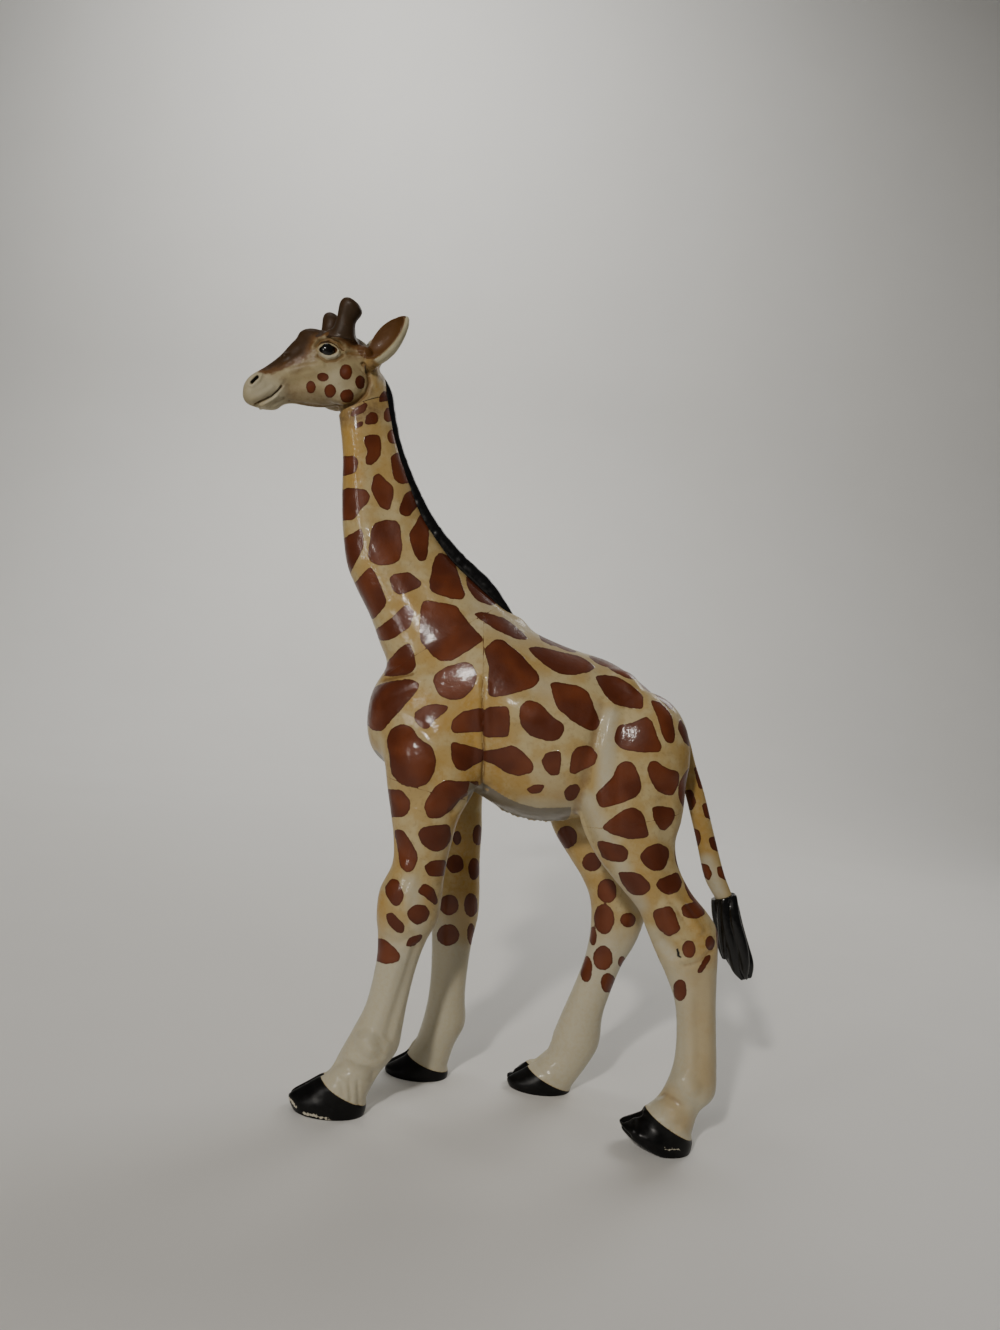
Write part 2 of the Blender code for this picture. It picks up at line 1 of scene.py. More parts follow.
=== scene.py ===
"""Toy giraffe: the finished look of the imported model, sculpted finer and painted.

The forms are worked in the sculpt's millimetres, facing -X with the left side towards -Y, and
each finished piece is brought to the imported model's metres.
"""
import math

import bmesh
import bpy
import numpy as np
from mathutils import Matrix, Vector


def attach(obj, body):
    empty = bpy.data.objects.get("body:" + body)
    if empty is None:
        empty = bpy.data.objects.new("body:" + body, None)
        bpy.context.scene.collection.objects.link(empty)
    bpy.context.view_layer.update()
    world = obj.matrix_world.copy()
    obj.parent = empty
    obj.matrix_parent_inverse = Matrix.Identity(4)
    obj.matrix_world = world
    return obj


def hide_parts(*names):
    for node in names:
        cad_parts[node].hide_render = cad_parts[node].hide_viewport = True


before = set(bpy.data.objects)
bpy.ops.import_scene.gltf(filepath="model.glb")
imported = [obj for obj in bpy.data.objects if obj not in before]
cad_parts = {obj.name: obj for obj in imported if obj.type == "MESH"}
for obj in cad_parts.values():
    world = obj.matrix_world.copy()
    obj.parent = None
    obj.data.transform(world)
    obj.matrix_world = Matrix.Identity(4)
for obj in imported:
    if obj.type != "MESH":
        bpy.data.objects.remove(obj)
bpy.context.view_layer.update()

SIDES = (("left", -1), ("right", 1))

# Driving dimensions, in millimetres, and the head's turn in radians
HAIRLINE = 0.003
BODY_VOXEL = 0.36
HEAD_VOXEL = 0.19
EAR_VOXEL = 0.18
SOFT_HOLLOWS = 3.65
SOFT_SKIN = 1.0
SOFT_TRUNK = 3.2
SOFT_FACE = 0.75
SOFT_SKULL = 1.3
SOFT_EARS = 0.32
HEAD_TURN = math.radians(20)
POLL = Vector((-36, 0, 153))
LENGTHWISE_MIDDLE = 0.7
SOLE_LEVEL = 2.2
REACH = 120

# The photograph's camera, in the sculpt's millimetres and in pixels of its 1000 x 1330 frame
CAMERA_AWAY = 216.0
CAMERA_HEIGHT = 96.3
CAMERA_ROLL = math.radians(6.5)
FOCAL_PIXELS = 1000.0
PICTURE_MIDDLE = (500.0, 665.0)
PICTURE_HEIGHT = 1330.0
MILLIMETRES_PER_PIXEL = 0.205

# Sections of each limb: front x, front z, back x, back z, middle y, half width
NECK = [
    (-14, 82, 14, 99, 0, 12.5),
    (-24.3, 94.6, 2.5, 106.6, 0, 10.2),
    (-28.9, 103.3, -6, 112.6, 0, 8.2),
    (-34.1, 111.6, -14.2, 119.2, 0, 6.8),
    (-36.6, 119.6, -19.8, 126, 0, 5.9),
    (-37.9, 128.4, -24, 134, 0, 5.4),
    (-38.7, 137, -27.4, 141.5, 0, 5.1),
    (-40.4, 145, -29.6, 148.5, 0, 4.8),
    (-42, 151, -31.3, 154.6, 0, 4.5),
]
# Where the neck's full size starts, inside the softer form of the shoulders
NECK_START = (-27.3, 104, -7.6, 111.8, 0, 7)
# Sections of the trunk: top x, top z, bottom x, bottom z, middle y, half width
TRUNK = [
    (-27, 87.2, -27, 80, 0, 3.8),
    (-25.2, 91.2, -25.2, 75, 0, 8.8),
    (-20.6, 98, -20.6, 71.6, 0, 12.2),
    (-12, 105.5, -14, 69, 0, 14.5),
    (-3, 108.2, -4, 69, 0, 15.6),
    (6.4, 104.3, 4.6, 65.3, 0, 16.3),
    (14.9, 101.6, 12.5, 64.2, 0, 16.9),
    (24, 99.6, 21, 65.8, 0, 16.2),
    (32.6, 94.6, 30, 66.5, 0, 14),
    (38, 89.8, 36.5, 67.5, 0, 10.5),
    (41.4, 85, 40.8, 71, 0, 5),
]
LEFT_FORELEG = [
    (-21, 86, 0, 88, -8.5, 6),
    (-21.6, 77, -1, 78, -10.6, 6.2),
    (-20.6, 70.6, -2, 70.8, -11.2, 5.9),
    (-19, 64.6, -4.7, 64.4, -11.6, 5.4),
    (-17.6, 58.8, -5.7, 58.7, -11.9, 4.9),
    (-17.3, 53.6, -6.3, 53.5, -12, 4.5),
    (-19.2, 48.2, -6.4, 48, -12, 5.1),
    (-19.3, 43, -6.7, 43.2, -12, 5),
    (-18.5, 38.6, -8.6, 38.6, -12, 4),
    (-18.3, 33, -10, 33, -12, 3.5),
    (-19.3, 25, -11, 25.6, -12, 3.4),
    (-21.3, 19.5, -11.4, 20.2, -12, 4),
    (-23.4, 14.6, -12, 15.7, -12, 4.8),
    (-25.1, 10.6, -15.2, 10.6, -12, 4.2),
    (-28, 7.6, -17.6, 4.6, -12, 4.5),
]
RIGHT_FORELEG = [
    (-20, 86, 1, 88, 8.5, 6),
    (-19.6, 77, 0, 78, 10.4, 6.2),
    (-17.6, 70.6, -0.4, 70.8, 10.8, 5.9),
    (-15, 64.6, -0.4, 64.4, 11, 5.4),
    (-12.4, 58.8, 0.2, 58.7, 11, 4.9),
    (-11.1, 53.6, 0.4, 53.5, 11, 4.5),
    (-11.4, 48.2, 0.9, 48, 11, 5.1),
    (-10.8, 43, 1.4, 43.2, 11, 5),
    (-9.4, 38.6, 1.5, 38.6, 11, 4),
    (-8.4, 33, 0.8, 33, 11, 3.5),
    (-7.7, 25, 0.5, 25.6, 11, 3.4),
    (-7.7, 19.5, 0.7, 20, 11, 4),
    (-8.3, 14.4, 1.3, 14.6, 11, 4.7),
    (-9.4, 10, -0.6, 9.6, 11, 4.2),
    (-11.5, 6.4, -1.9, 3.6, 11, 4.3),
]
LEFT_HIND_LEG = [
    (18, 92, 37, 90, -7, 5.5),
    (17.2, 82, 40, 82, -9, 7),
    (17.4, 76, 40.9, 75.5, -10, 7.2),
    (18.8, 70.2, 40.6, 69, -11.2, 6.7),
    (20.7, 64.8, 39.7, 64.5, -11.6, 6),
    (24.5, 59.2, 40.8, 59.6, -11.9, 5.3),
    (29.4, 54.2, 44, 54.6, -12, 4.8),
    (33.6, 50, 47.8, 50.8, -12, 4.6),
    (35.8, 46, 50.2, 47.4, -12, 4.7),
    (38.2, 41.6, 50.8, 42.3, -12, 4.4),
    (40.9, 37, 51.2, 37, -12, 3.8),
    (43.2, 32, 51.6, 32.2, -12, 3.5),
    (44.3, 25.6, 52.4, 25.6, -12, 3.5),
    (44.4, 19.6, 53.1, 20, -12, 4),
    (43.3, 14.9, 53.3, 14.4, -12, 4.6),
    (41.6, 11.6, 50.5, 10.8, -12, 4.3),
    (39, 9.4, 49.4, 5.4, -12, 4.5),
]
RIGHT_HIND_LEG = [
    (18, 92, 37, 90, 7, 5.5),
    (16, 82, 38.6, 82, 9, 7),
    (14.8, 76, 39, 75.5, 10, 7.2),
    (13.6, 70.2, 38, 69.5, 10.8, 6.7),
    (14.4, 65, 36, 64.5, 11, 6),
    (16.6, 60, 35, 59.5, 11, 5.3),
    (20.6, 54.8, 35.6, 55, 11, 4.8),
    (24, 50.4, 37.6, 50.8, 11, 4.6),
    (26.2, 46.2, 39.4, 46.6, 11, 4.7),
    (27, 41.6, 38.8, 41.2, 11, 4.4),
    (27.1, 37, 37.3, 36.4, 11, 3.8),
    (26.5, 32, 35.1, 31.8, 11, 3.5),
    (24.8, 25.6, 33.3, 25.6, 11, 3.5),
    (23, 19.9, 32.1, 20, 11, 4),
    (21.4, 14.4, 32, 13.8, 11, 4.6),
    (20.4, 10.4, 30.4, 9.6, 11, 4.2),
    (16.4, 6.6, 26.6, 3, 11, 4.3),
]
HOOF = [
    (-4.4, 9.1, 5.2, 6.2, 0, 4.4),
    (-7.3, 6.8, 5.6, 5, 0, 4.7),
    (-10, 4.7, 5.8, 3.8, 0, 4.9),
    (-10.1, 3.4, 5.6, 2.6, 0, 4.9),
    (-9.2, 1.6, 5.2, 1.2, 0, 4.7),
    (-8, 0, 4.8, 0, 0, 4.3),
]
# Where each hoof stands, x and y, with its length and height beside the hoof above, and its toe's rise
HOOVES = {
    "left_fore": (-22.7, -12, 1, 1, 0.8),
    "right_fore": (-6.5, 11, 0.91, 0.78, 0),
    "left_hind": (44.4, -12, 0.96, 1, 4.2),
    "right_hind": (21.4, 11, 0.93, 0.85, 0.5),
}
# Sections of the head before it is turned, from the nape to the muzzle
HEAD = [
    (-33.2, 157.4, -35, 147, 0, 4.3),
    (-36.4, 161.4, -37, 149.4, 0, 4.9),
    (-40, 162.8, -41, 147.6, 0, 5.5),
    (-44, 162.8, -44.5, 146.5, 0, 5.7),
    (-47.4, 162.3, -48, 146.2, 0, 5),
    (-49.8, 161.4, -50, 146.2, 0, 4.1),
    (-51.9, 159.2, -51.8, 145.8, 0, 3.5),
    (-54.3, 155.6, -53.5, 144.8, 0, 3.2),
    (-57.1, 152.6, -56.5, 144, 0, 3.1),
    (-59.2, 150.8, -58.8, 144, 0, 3.1),
    (-60.5, 149.2, -60.3, 144.7, 0, 2.5),
    (-61, 147.8, -60.9, 145.8, 0, 1.4),
]
NECK_STUB = [
    (-39, 139, -28.4, 143, 0, 5),
    (-40, 145, -29.6, 148.5, 0, 4.8),
    (-42, 151, -31.3, 154.6, 0, 4.5),
    (-43, 155, -34, 157, 0, 3.6),
]
# Swellings on each side: middle x, y, z, half sizes x, y, z, lean in degrees
BODY_SWELLINGS = [
    (-10.3, 9.3, 85, 7, 5.2, 10.6, 18),
    (-16.5, 8.6, 79.5, 6.6, 6, 8.6, 10),
    (-10.5, 10, 75, 8.4, 6.4, 8, 0),
    (30.6, 9.2, 80, 10.8, 8.6, 14.5, 4),
    (25.2, 7, 93.6, 5, 4.6, 5, 20),
    (35, 8, 72, 6, 6, 9, 0),
]
BODY_RIDGES = [
    (-3, 0, 104, 8.6, 3.6, 3.6, -12),
]
HEAD_SWELLINGS = [
    (-41.4, 3.3, 152, 5.2, 2.7, 5, 0),
    (-50, 2.4, 153.6, 5, 1, 1.4, 22),
    (-57.8, 1.5, 148, 2.9, 1.9, 2.6, 30),
    (-42.6, 3.2, 160.8, 3.6, 2.6, 2.2, 0),
    (-37.6, 4, 157.6, 2.4, 2, 2.6, 0),
]
HEAD_RIDGES = [
    (-47.6, 0, 160.4, 3.6, 3, 2.2, 0),
    (-56, 0, 145, 3, 2.3, 1.2, 0),
]
EYE = (-45.4, 4.3, 157.3)
EYE_RADIUS = 1.75
# The eyelids' bulge, and the almond opening in it: middle x, y, z, half sizes x, y, z, lean
LIDS = (-45.3, 3.9, 157.25, 2.7, 1.75, 2, -10)
EYE_OPENING = (-45.3, 6, 157.3, 1.95, 2.4, 0.98, -12)
OSSICONE = [
    (-46.3, 160.1, -39.4, 160.1, 3.4, 2.8),
    (-45.7, 161.4, -40.4, 161.6, 4.1, 2.4),
    (-45, 164.2, -40.9, 164, 4.9, 2),
    (-44.9, 166.3, -40.1, 165.5, 5.4, 2.2),
    (-44.8, 167.5, -39.9, 166.3, 5.7, 2.2),
    (-44.3, 168.4, -40.5, 167.3, 5.9, 1.7),
    (-43.4, 168.8, -41.8, 168.2, 5.9, 0.9),
]
# The left ossicone stands this much further back, and the right one further forward
OSSICONE_SKEW = 0.75
# The ear stands along its own +Z and opens towards its -X
EAR = [
    (-1.2, -1, 1.3, -1, 0, 1.4),
    (-1.5, 1.8, 1.7, 1.8, -0.1, 2.3),
    (-1.9, 4.6, 2.3, 4.6, -0.45, 3.8),
    (-2, 7.4, 2.4, 7.4, -0.55, 4.3),
    (-1.7, 10.2, 1.9, 10.2, -0.45, 3.6),
    (-1, 12.6, 1.1, 12.6, -0.15, 2),
    (-0.3, 13.8, 0.3, 13.8, 0, 0.5),
]
EAR_HOLLOW = (-2.5, -0.5, 7.6, 4.2, 3.85, 5.9, 0)
EAR_FOOT = (-37, 4.2, 155.8)
EAR_TIP = (-30.8, 11, 165.4)
EAR_OPENING = (-0.95, 0.3, 0.1)
# Sections of the mane: outer edge x, z, inner edge x, z, middle y, half width
MANE = [
    (-32.2, 155.6, -33.4, 154.2, 0, 0.8),
    (-29.8, 152.4, -32.4, 150.6, 0, 1.2),
    (-28.2, 146.8, -31, 146, 0, 1.3),
    (-26.2, 140.9, -29.2, 139.4, 0, 1.3),
    (-22.4, 133.4, -25.6, 131.4, 0, 1.3),
    (-17.2, 125.7, -20, 123.2, 0, 1.3),
    (-10.8, 119.4, -13.2, 116.4, 0, 1.3),
    (-3.7, 114, -6, 110.8, 0, 1.3),
    (0.4, 109.2, -1.6, 107.2, 0, 1.1),
    (2.4, 106.7, 1, 105.6, 0, 0.7),
]
# Sections of the tail: outer edge x, z, inner edge x, z, middle y, half width
TAIL = [
    (38.6, 88.2, 36.4, 85.4, 0, 1.5),
    (41.8, 86.2, 39.4, 82.6, 0, 1.9),
    (44.5, 79.5, 41, 77.9, 0, 1.8),
    (46.9, 74, 43.1, 72.6, 0, 1.8),
    (50.2, 64.9, 46.2, 64, 0, 1.8),
    (53.2, 57, 49, 55.8, 0, 1.8),
    (55.4, 52.6, 51.9, 51.4, 0, 1.8),
    (56.4, 49.6, 53, 49, 0, 1.4),
]
TUFT_LOCKS = [
    [(56.3, 53, 51.2, 51.7, 0, 2.2), (58, 47.4, 52.1, 47, 0, 3), (60, 42.4, 54.2, 41.6, 0, 2.8),
     (61.4, 38.4, 56.8, 37, 0, 2), (61.4, 35.6, 59.4, 34.8, 0, 0.7)],
    [(55.8, 52, 52, 50.6, -0.6, 1.6), (55.9, 46.6, 52.6, 46, -0.9, 1.6), (55.8, 42, 53.4, 41.4, -0.8, 1.2),
     (55.8, 38.9, 54.6, 38.5, -0.6, 0.5)],
    [(56, 52, 53, 51, 0.9, 1.5), (58, 46, 54.6, 45.4, 1.3, 1.6), (59.6, 40.4, 56.8, 39.8, 1.2, 1.2),
     (60, 37, 58.8, 36.6, 0.9, 0.5)],
]
# Parting planes: a point in the plane (x, z) and its lean in degrees, level being 0
TUFT_TOP = ((53.6, 52.2), 23)
NECK_TOP = ((-36.4, 147.7), 29)
NECK_FOOT = ((-11.5, 101), 38)
# The shoulder seam's plane: a point in it (x, z) and its lean towards the head, going up
SHOULDER_SEAM = ((-1.8, 82), 6.4)
FORELEG_TOP = ((-11, 69.6), -10)
HIND_LEG_TOP = ((30, 68), 15)
HOOF_TOPS = {
    "left_fore": ((-21.9, 6.8), -27),
    "right_fore": ((-6.4, 5.4), -19),
    "left_hind": ((44.6, 7.6), -27),
    "right_hind": ((21.4, 4.8), -24),
}
LEG_INNER_Y = 4.5
FORE_AND_HIND_SPLIT_X = 2.7
HIND_FRONT_X = 9.5

# Lines pressed into the skin (or raised, where the depth is negative), as the photograph shows
# them on the near side: points in pixels, half width in pixels, depth in millimetres
BODY_LINES = {
    "shoulder seam": ([(483, 676), (482, 715), (484, 750), (482, 792)], 2.6, 0.3),
    "edge before the seam": ([(478, 686), (478, 720), (478, 775)], 4.5, -0.16),
    "edge behind the seam": ([(488, 684), (488, 720), (489, 780)], 4.5, -0.14),
    "neck base fold": ([(380, 681), (398, 676), (412, 674)], 4, 0.42),
    "roll above the fold": ([(384, 673), (400, 669)], 5, -0.3),
    "roll below the fold": ([(384, 692), (402, 684), (414, 680)], 9, -0.3),
    "elbow fold": ([(452, 812), (466, 799), (484, 789)], 6, 0.4),
    "thigh's front edge": ([(604, 706), (588, 762), (578, 806), (590, 842)], 11, 0.5),
    "thigh ridge": ([(611, 708), (607, 745), (604, 790), (606, 830)], 15, -0.5),
    "flank hollow": ([(592, 736), (582, 776)], 16, 0.3),
    "upper arm": ([(408, 752), (413, 776)], 27, -0.6),
    "above the upper arm": ([(396, 722), (424, 734), (444, 760)], 12, 0.25),
    "breast": ([(382, 704), (396, 712)], 20, -0.35),
    "armpit": ([(440, 772), (430, 792), (412, 800)], 14, 0.25),
    "throat cord": ([(356, 430), (362, 520), (392, 600)], 12, -0.2),
    "neck hollow": ([(378, 440), (388, 530), (424, 600)], 14, 0.28),
    "hip": ([(633, 684), (650, 702)], 12, -0.3),
    "loin hollow": ([(600, 672), (622, 700)], 14, 0.25),
    "barrel": ([(512, 700), (552, 716)], 34, -0.3),
    "rib": ([(522, 711), (530, 718)], 22, -0.5),
    "fore knee top": ([(406, 868), (412, 872)], 10, -0.3),
    "fore knee ridge": ([(414, 880), (409, 896), (404, 912)], 6, -0.2),
    "fore knee's lower edge": ([(382, 938), (398, 943), (414, 936)], 7, 0.25),
    "fore knee's upper edge": ([(383, 882), (396, 878)], 6, 0.16),
    "hollow above the fore knee": ([(398, 846), (436, 862)], 12, 0.2),
    "fore cannon groove": ([(416, 948), (404, 985), (392, 1021), (388, 1036)], 7, 0.4),
    "fore tendon": ([(426, 950), (413, 990), (403, 1028)], 4.5, -0.16),
    "fore cannon bone": ([(396, 962), (384, 1004), (374, 1032)], 9, -0.22),
    "fore fetlock": ([(366, 1041), (371, 1047)], 14, -1.3),
    "fore fetlock's rear": ([(386, 1046), (384, 1054)], 8, -0.3),
    "below the fore fetlock": ([(336, 1062), (354, 1071), (376, 1076)], 10, 0.8),
    "fore pastern wrinkle": ([(349, 1080), (351, 1100)], 3.2, 0.3),
    "second fore pastern wrinkle": ([(358, 1082), (359, 1104)], 3, 0.28),
    "third fore pastern wrinkle": ([(340, 1077), (343, 1094)], 3, 0.22),
    "hock bone": ([(674, 896), (686, 912), (699, 930)], 7, -0.55),
    "hock hollow": ([(660, 940), (676, 954)], 12, 0.5),
    "hock's rear edge": ([(684, 966), (702, 961), (712, 950)], 5, 0.3),
    "gaskin's end": ([(667, 908), (671, 928)], 12, -0.5),
    "hind tendon groove": ([(701, 980), (700, 1012), (699, 1056)], 10, 0.16),
    "hind cannon bone": ([(688, 1000), (690, 1040), (690, 1070)], 9, -0.35),
    "hind fetlock": ([(683, 1080), (690, 1088)], 14, -0.85),
    "below the hind fetlock": ([(662, 1094), (680, 1104), (696, 1109)], 9, 0.5),
    "hind pastern": ([(664, 1102), (674, 1116)], 11, -0.4),
    "hind toe notch": ([(617, 1126), (628, 1137)], 4.5, 0.55),
    "hind hoof side": ([(646, 1126), (664, 1138)], 15, 0.4),
    "hind hoof ridge": ([(645, 1106), (634, 1118), (634, 1132)], 6, -0.35),
    "hind heel": ([(682, 1130), (688, 1136)], 7, -0.4),
    "fore hoof ridge": ([(324, 1076), (308, 1082), (291, 1094)], 6, -0.25),
    "fore hoof side": ([(322, 1098), (340, 1108)], 14, 0.25),
    "gaskin": ([(640, 880), (662, 916)], 16, -0.25),
    "stifle": ([(612, 850), (622, 866)], 13, -0.25),
    "thigh's rear groove": ([(664, 800), (668, 850), (672, 884)], 11, 0.28),
}
HEAD_LINES = {
    "upper lid": ([(319, 348), (322.5, 344.6), (329, 343.6), (335, 346.4), (338.6, 351)], 2.2, -0.28),
    "lower lid": ([(319.4, 351.4), (323, 355.4), (329.3, 357.4), (335.6, 356), (338.6, 352.6)], 2.3, -0.34),
    "fold above lid": ([(316, 346), (320.6, 340.6), (329.6, 338.6), (337.8, 342.2), (343, 349)], 2.4, 0.3),
    "fold below the lid": ([(318.5, 356), (326, 361.4), (336, 360.6), (343.4, 355)], 3, 0.3),
    "brow": ([(313, 347), (317.6, 338.4), (328.6, 334.4), (339.4, 338), (347, 346.6)], 4, -0.24),
    "cheek bone": ([(290, 371), (306, 367), (322, 365)], 5, -0.22),
    "hollow under the cheek bone": ([(290, 385), (304, 382), (318, 378)], 9, 0.3),
    "bridge": ([(268, 366), (284, 360), (298, 350)], 5, 0.2),
    "nostril": ([(251.4, 382.4), (254.4, 378.8), (257.8, 376.2)], 2.2, 1.1),
    "nostril rim": ([(248.6, 385.6), (252.6, 386), (259, 380.6), (261.6, 374.8)], 2.6, -0.22),
    "mouth": ([(254.6, 405), (262.5, 400.6), (271.3, 396.6), (278.4, 390.6), (281.4, 386.4)], 1.8, 0.55),
    "lower lip": ([(262, 405.4), (270.4, 400.6), (277, 396)], 2.6, -0.32),
    "chin fold": ([(270, 408), (277, 402), (284, 399)], 3, 0.2),
    "upper lip": ([(253, 399), (264, 394), (272, 388)], 5, -0.22),
    "fold from the mouth corner": ([(281.6, 387), (285, 381)], 3, 0.1),
    "jaw edge": ([(289, 401.4), (302, 403.8), (322.6, 406.6), (338, 405.4)], 2.6, 0.2),
    "cheek rim": ([(363, 364), (368.4, 373), (370, 383), (366.4, 393.6), (357, 402.6), (345, 407)], 3.2, 0.5),
    "cheek plate": ([(350, 371), (358, 379), (356, 390), (345, 397)], 9, -0.32),
    "temple": ([(348, 353), (362, 353.6)], 3.6, 0.3),
}
# Dark marks along the nostril, the mouth and the groove of the cheek's rim: start u, v, end u, v, radius in
# pixels, strength
DARK_MARKS = [
    (251.8, 382, 257.4, 376.8, 2.5, 1.0), (258, 402.6, 271, 396.8, 1.5, 0.4),
    (271, 396.8, 281, 387, 1.5, 0.5), (365, 366, 366, 373, 1.6, 0.6),
]

# Patches of the coat, as the photograph shows them: outlines in pixels
NECK_PATCHES = [
    [(351, 416), (353, 410), (365, 403), (367, 405), (365, 411), (355, 416)],
    [(365, 424), (366, 417), (371, 412), (376, 413), (378, 420), (376, 424)],
    [(354, 428), (356, 425), (361, 421), (363, 422), (362, 426), (357, 428)],
    [(379, 402), (380, 396), (384, 391), (392, 394), (392, 399), (384, 401)],
    [(384, 419), (384, 413), (387, 408), (396, 408), (396, 420), (387, 422)],
    [(364, 437), (370, 435), (379, 435), (381, 441), (380, 455), (377, 461), (371, 465), (366, 464),
     (366, 458), (368, 451), (365, 445)],
    [(387, 437), (389, 431), (398, 428), (400, 443), (390, 443)],
    [(336, 457), (354, 456), (358, 461), (356, 473), (336, 477)],
    [(391, 457), (396, 453), (402, 453), (412, 482), (401, 484), (395, 480), (392, 470)],
    [(374, 476), (379, 473), (385, 480), (393, 487), (393, 496), (390, 508), (388, 510), (381, 507),
     (375, 498), (371, 488)],
    [(336, 493), (348, 488), (357, 489), (366, 490), (370, 496), (367, 503), (361, 509), (354, 520),
     (336, 520)],
    [(399, 509), (405, 494), (412, 490), (420, 503), (408, 517), (401, 514)],
    [(375, 523), (386, 520), (396, 521), (400, 526), (402, 546), (400, 559), (393, 564), (380, 565),
     (371, 562), (368, 554), (370, 544), (371, 532)],
    [(409, 534), (413, 528), (422, 512), (429, 528), (428, 546), (426, 560), (420, 561), (414, 554)],
    [(336, 541), (344, 539), (361, 528), (363, 534), (363, 548), (353, 567), (349, 576), (336, 556)],
    [(350, 590), (361, 576), (370, 567), (375, 572), (386, 600), (385, 606), (372, 621), (355, 602)],
    [(389, 578), (395, 574), (409, 572), (422, 583), (418, 588), (400, 595), (393, 590)],
    [(428, 591), (434, 559), (440, 552), (454, 560), (458, 574), (465, 594), (463, 599), (453, 599)],
    [(466, 576), (476, 582), (498, 597), (496, 603), (491, 606), (477, 600), (468, 589)],
    [(374, 631), (391, 619), (406, 604), (414, 612), (410, 627), (390, 640), (380, 640)],
]
BODY_PATCHES = [
    [(421, 606), (424, 600), (457, 606), (460, 612), (470, 625), (482, 637), (482, 641), (464, 653),
     (453, 660), (441, 661), (433, 656), (427, 648), (420, 641)],
    [(473, 614), (481, 612), (505, 618), (527, 637), (526, 640), (515, 638), (495, 629)],
    [(386, 664), (400, 648), (409, 643), (413, 651), (416, 666), (410, 674), (384, 677)],
    [(433, 680), (436, 674), (446, 667), (464, 662), (472, 665), (477, 675), (474, 687), (464, 698),
     (450, 700), (438, 694)],
    [(484, 649), (496, 639), (505, 641), (522, 656), (538, 674), (539, 680), (534, 687), (514, 693),
     (496, 697), (488, 695), (488, 680), (490, 667)],
    [(527, 648), (539, 647), (582, 657), (595, 667), (591, 671), (574, 675), (557, 673), (543, 663)],
    [(538, 632), (553, 637), (576, 645), (576, 649), (553, 646), (541, 640)],
    [(550, 684), (555, 682), (579, 686), (589, 693), (593, 706), (600, 722), (596, 729), (591, 731),
     (574, 722), (557, 708)],
    [(520, 706), (529, 700), (541, 704), (550, 715), (563, 724), (564, 731), (558, 740), (548, 741),
     (531, 736), (520, 724)],
    [(364, 694), (383, 683), (409, 679), (419, 683), (417, 691), (402, 708), (391, 720), (382, 731),
     (372, 730), (362, 718)],
    [(415, 713), (424, 706), (436, 704), (448, 706), (446, 711), (434, 720), (429, 728), (424, 729),
     (415, 721)],
    [(451, 729), (453, 720), (462, 712), (477, 709), (484, 709), (484, 732), (470, 732), (455, 733)],
    [(483, 708), (507, 706), (510, 715), (509, 731), (507, 737), (488, 737), (483, 736)],
    [(451, 744), (453, 742), (484, 750), (484, 760), (474, 765), (465, 771), (457, 769), (452, 760)],
    [(483, 751), (500, 749), (512, 745), (522, 751), (534, 765), (532, 772), (519, 776), (507, 773),
     (496, 765), (483, 760)],
    [(387, 739), (391, 729), (403, 724), (412, 728), (419, 739), (431, 746), (436, 760), (434, 772),
     (427, 784), (414, 788), (400, 784), (391, 772), (390, 758)],
    [(424, 808), (426, 801), (436, 786), (446, 780), (460, 782), (479, 781), (477, 789), (460, 799),
     (452, 810), (440, 818), (429, 818)],
    [(542, 761), (546, 753), (560, 751), (561, 760), (559, 775), (551, 775), (545, 770)],
    [(569, 773), (572, 753), (579, 746), (591, 746), (598, 756), (594, 765), (582, 770), (576, 774)],
    [(526, 789), (534, 785), (545, 785), (541, 792), (532, 794)],
    [(564, 792), (568, 786), (577, 784), (580, 789), (577, 797), (571, 801), (566, 799)],
    [(380, 789), (402, 790), (410, 801), (410, 810), (403, 817), (384, 817)],
]
HAUNCH_PATCHES = [
    [(595, 677), (602, 675), (618, 677), (633, 687), (643, 696), (643, 709), (631, 708), (614, 704),
     (604, 693)],
    [(595, 652), (614, 656), (632, 667), (640, 678), (631, 679), (614, 672), (602, 662)],
    [(643, 684), (656, 688), (674, 705), (671, 710), (656, 695)],
    [(680, 718), (692, 740), (692, 748), (684, 742), (678, 728)],
    [(650, 700), (660, 702), (671, 714), (675, 735), (673, 743), (666, 742), (662, 733), (658, 718)],
    [(615, 735), (618, 726), (633, 723), (646, 717), (652, 721), (656, 735), (662, 746), (660, 752),
     (639, 752), (622, 749), (615, 742)],
    [(595, 794), (612, 779), (618, 765), (625, 761), (633, 763), (640, 779), (641, 790), (635, 798),
     (604, 808), (599, 806)],
    [(647, 769), (650, 762), (656, 761), (667, 769), (679, 772), (678, 786), (673, 795), (666, 795),
     (654, 788)],
    [(601, 827), (622, 811), (633, 807), (643, 813), (649, 836), (644, 838), (629, 839), (612, 834)],
    [(652, 808), (658, 806), (673, 808), (675, 815), (671, 825), (664, 831), (658, 827), (654, 819)],
    [(597, 842), (602, 841), (623, 846), (628, 851), (627, 859), (622, 862), (610, 861), (602, 857)],
    [(640, 856), (646, 848), (658, 843), (668, 848), (669, 857), (664, 869), (654, 871), (644, 865)],
    [(618, 873), (623, 872), (639, 873), (650, 884), (650, 890), (644, 895), (633, 895), (625, 888)],
    [(656, 885), (660, 879), (668, 876), (677, 872), (682, 882), (679, 891), (669, 895), (662, 892)],
    [(652, 911), (672, 905), (681, 930), (669, 937), (657, 927)],
    [(681, 906), (698, 901), (706, 914), (695, 919), (683, 916)],
    [(697, 972), (705, 957), (710, 955), (710, 960), (701, 973)],
]
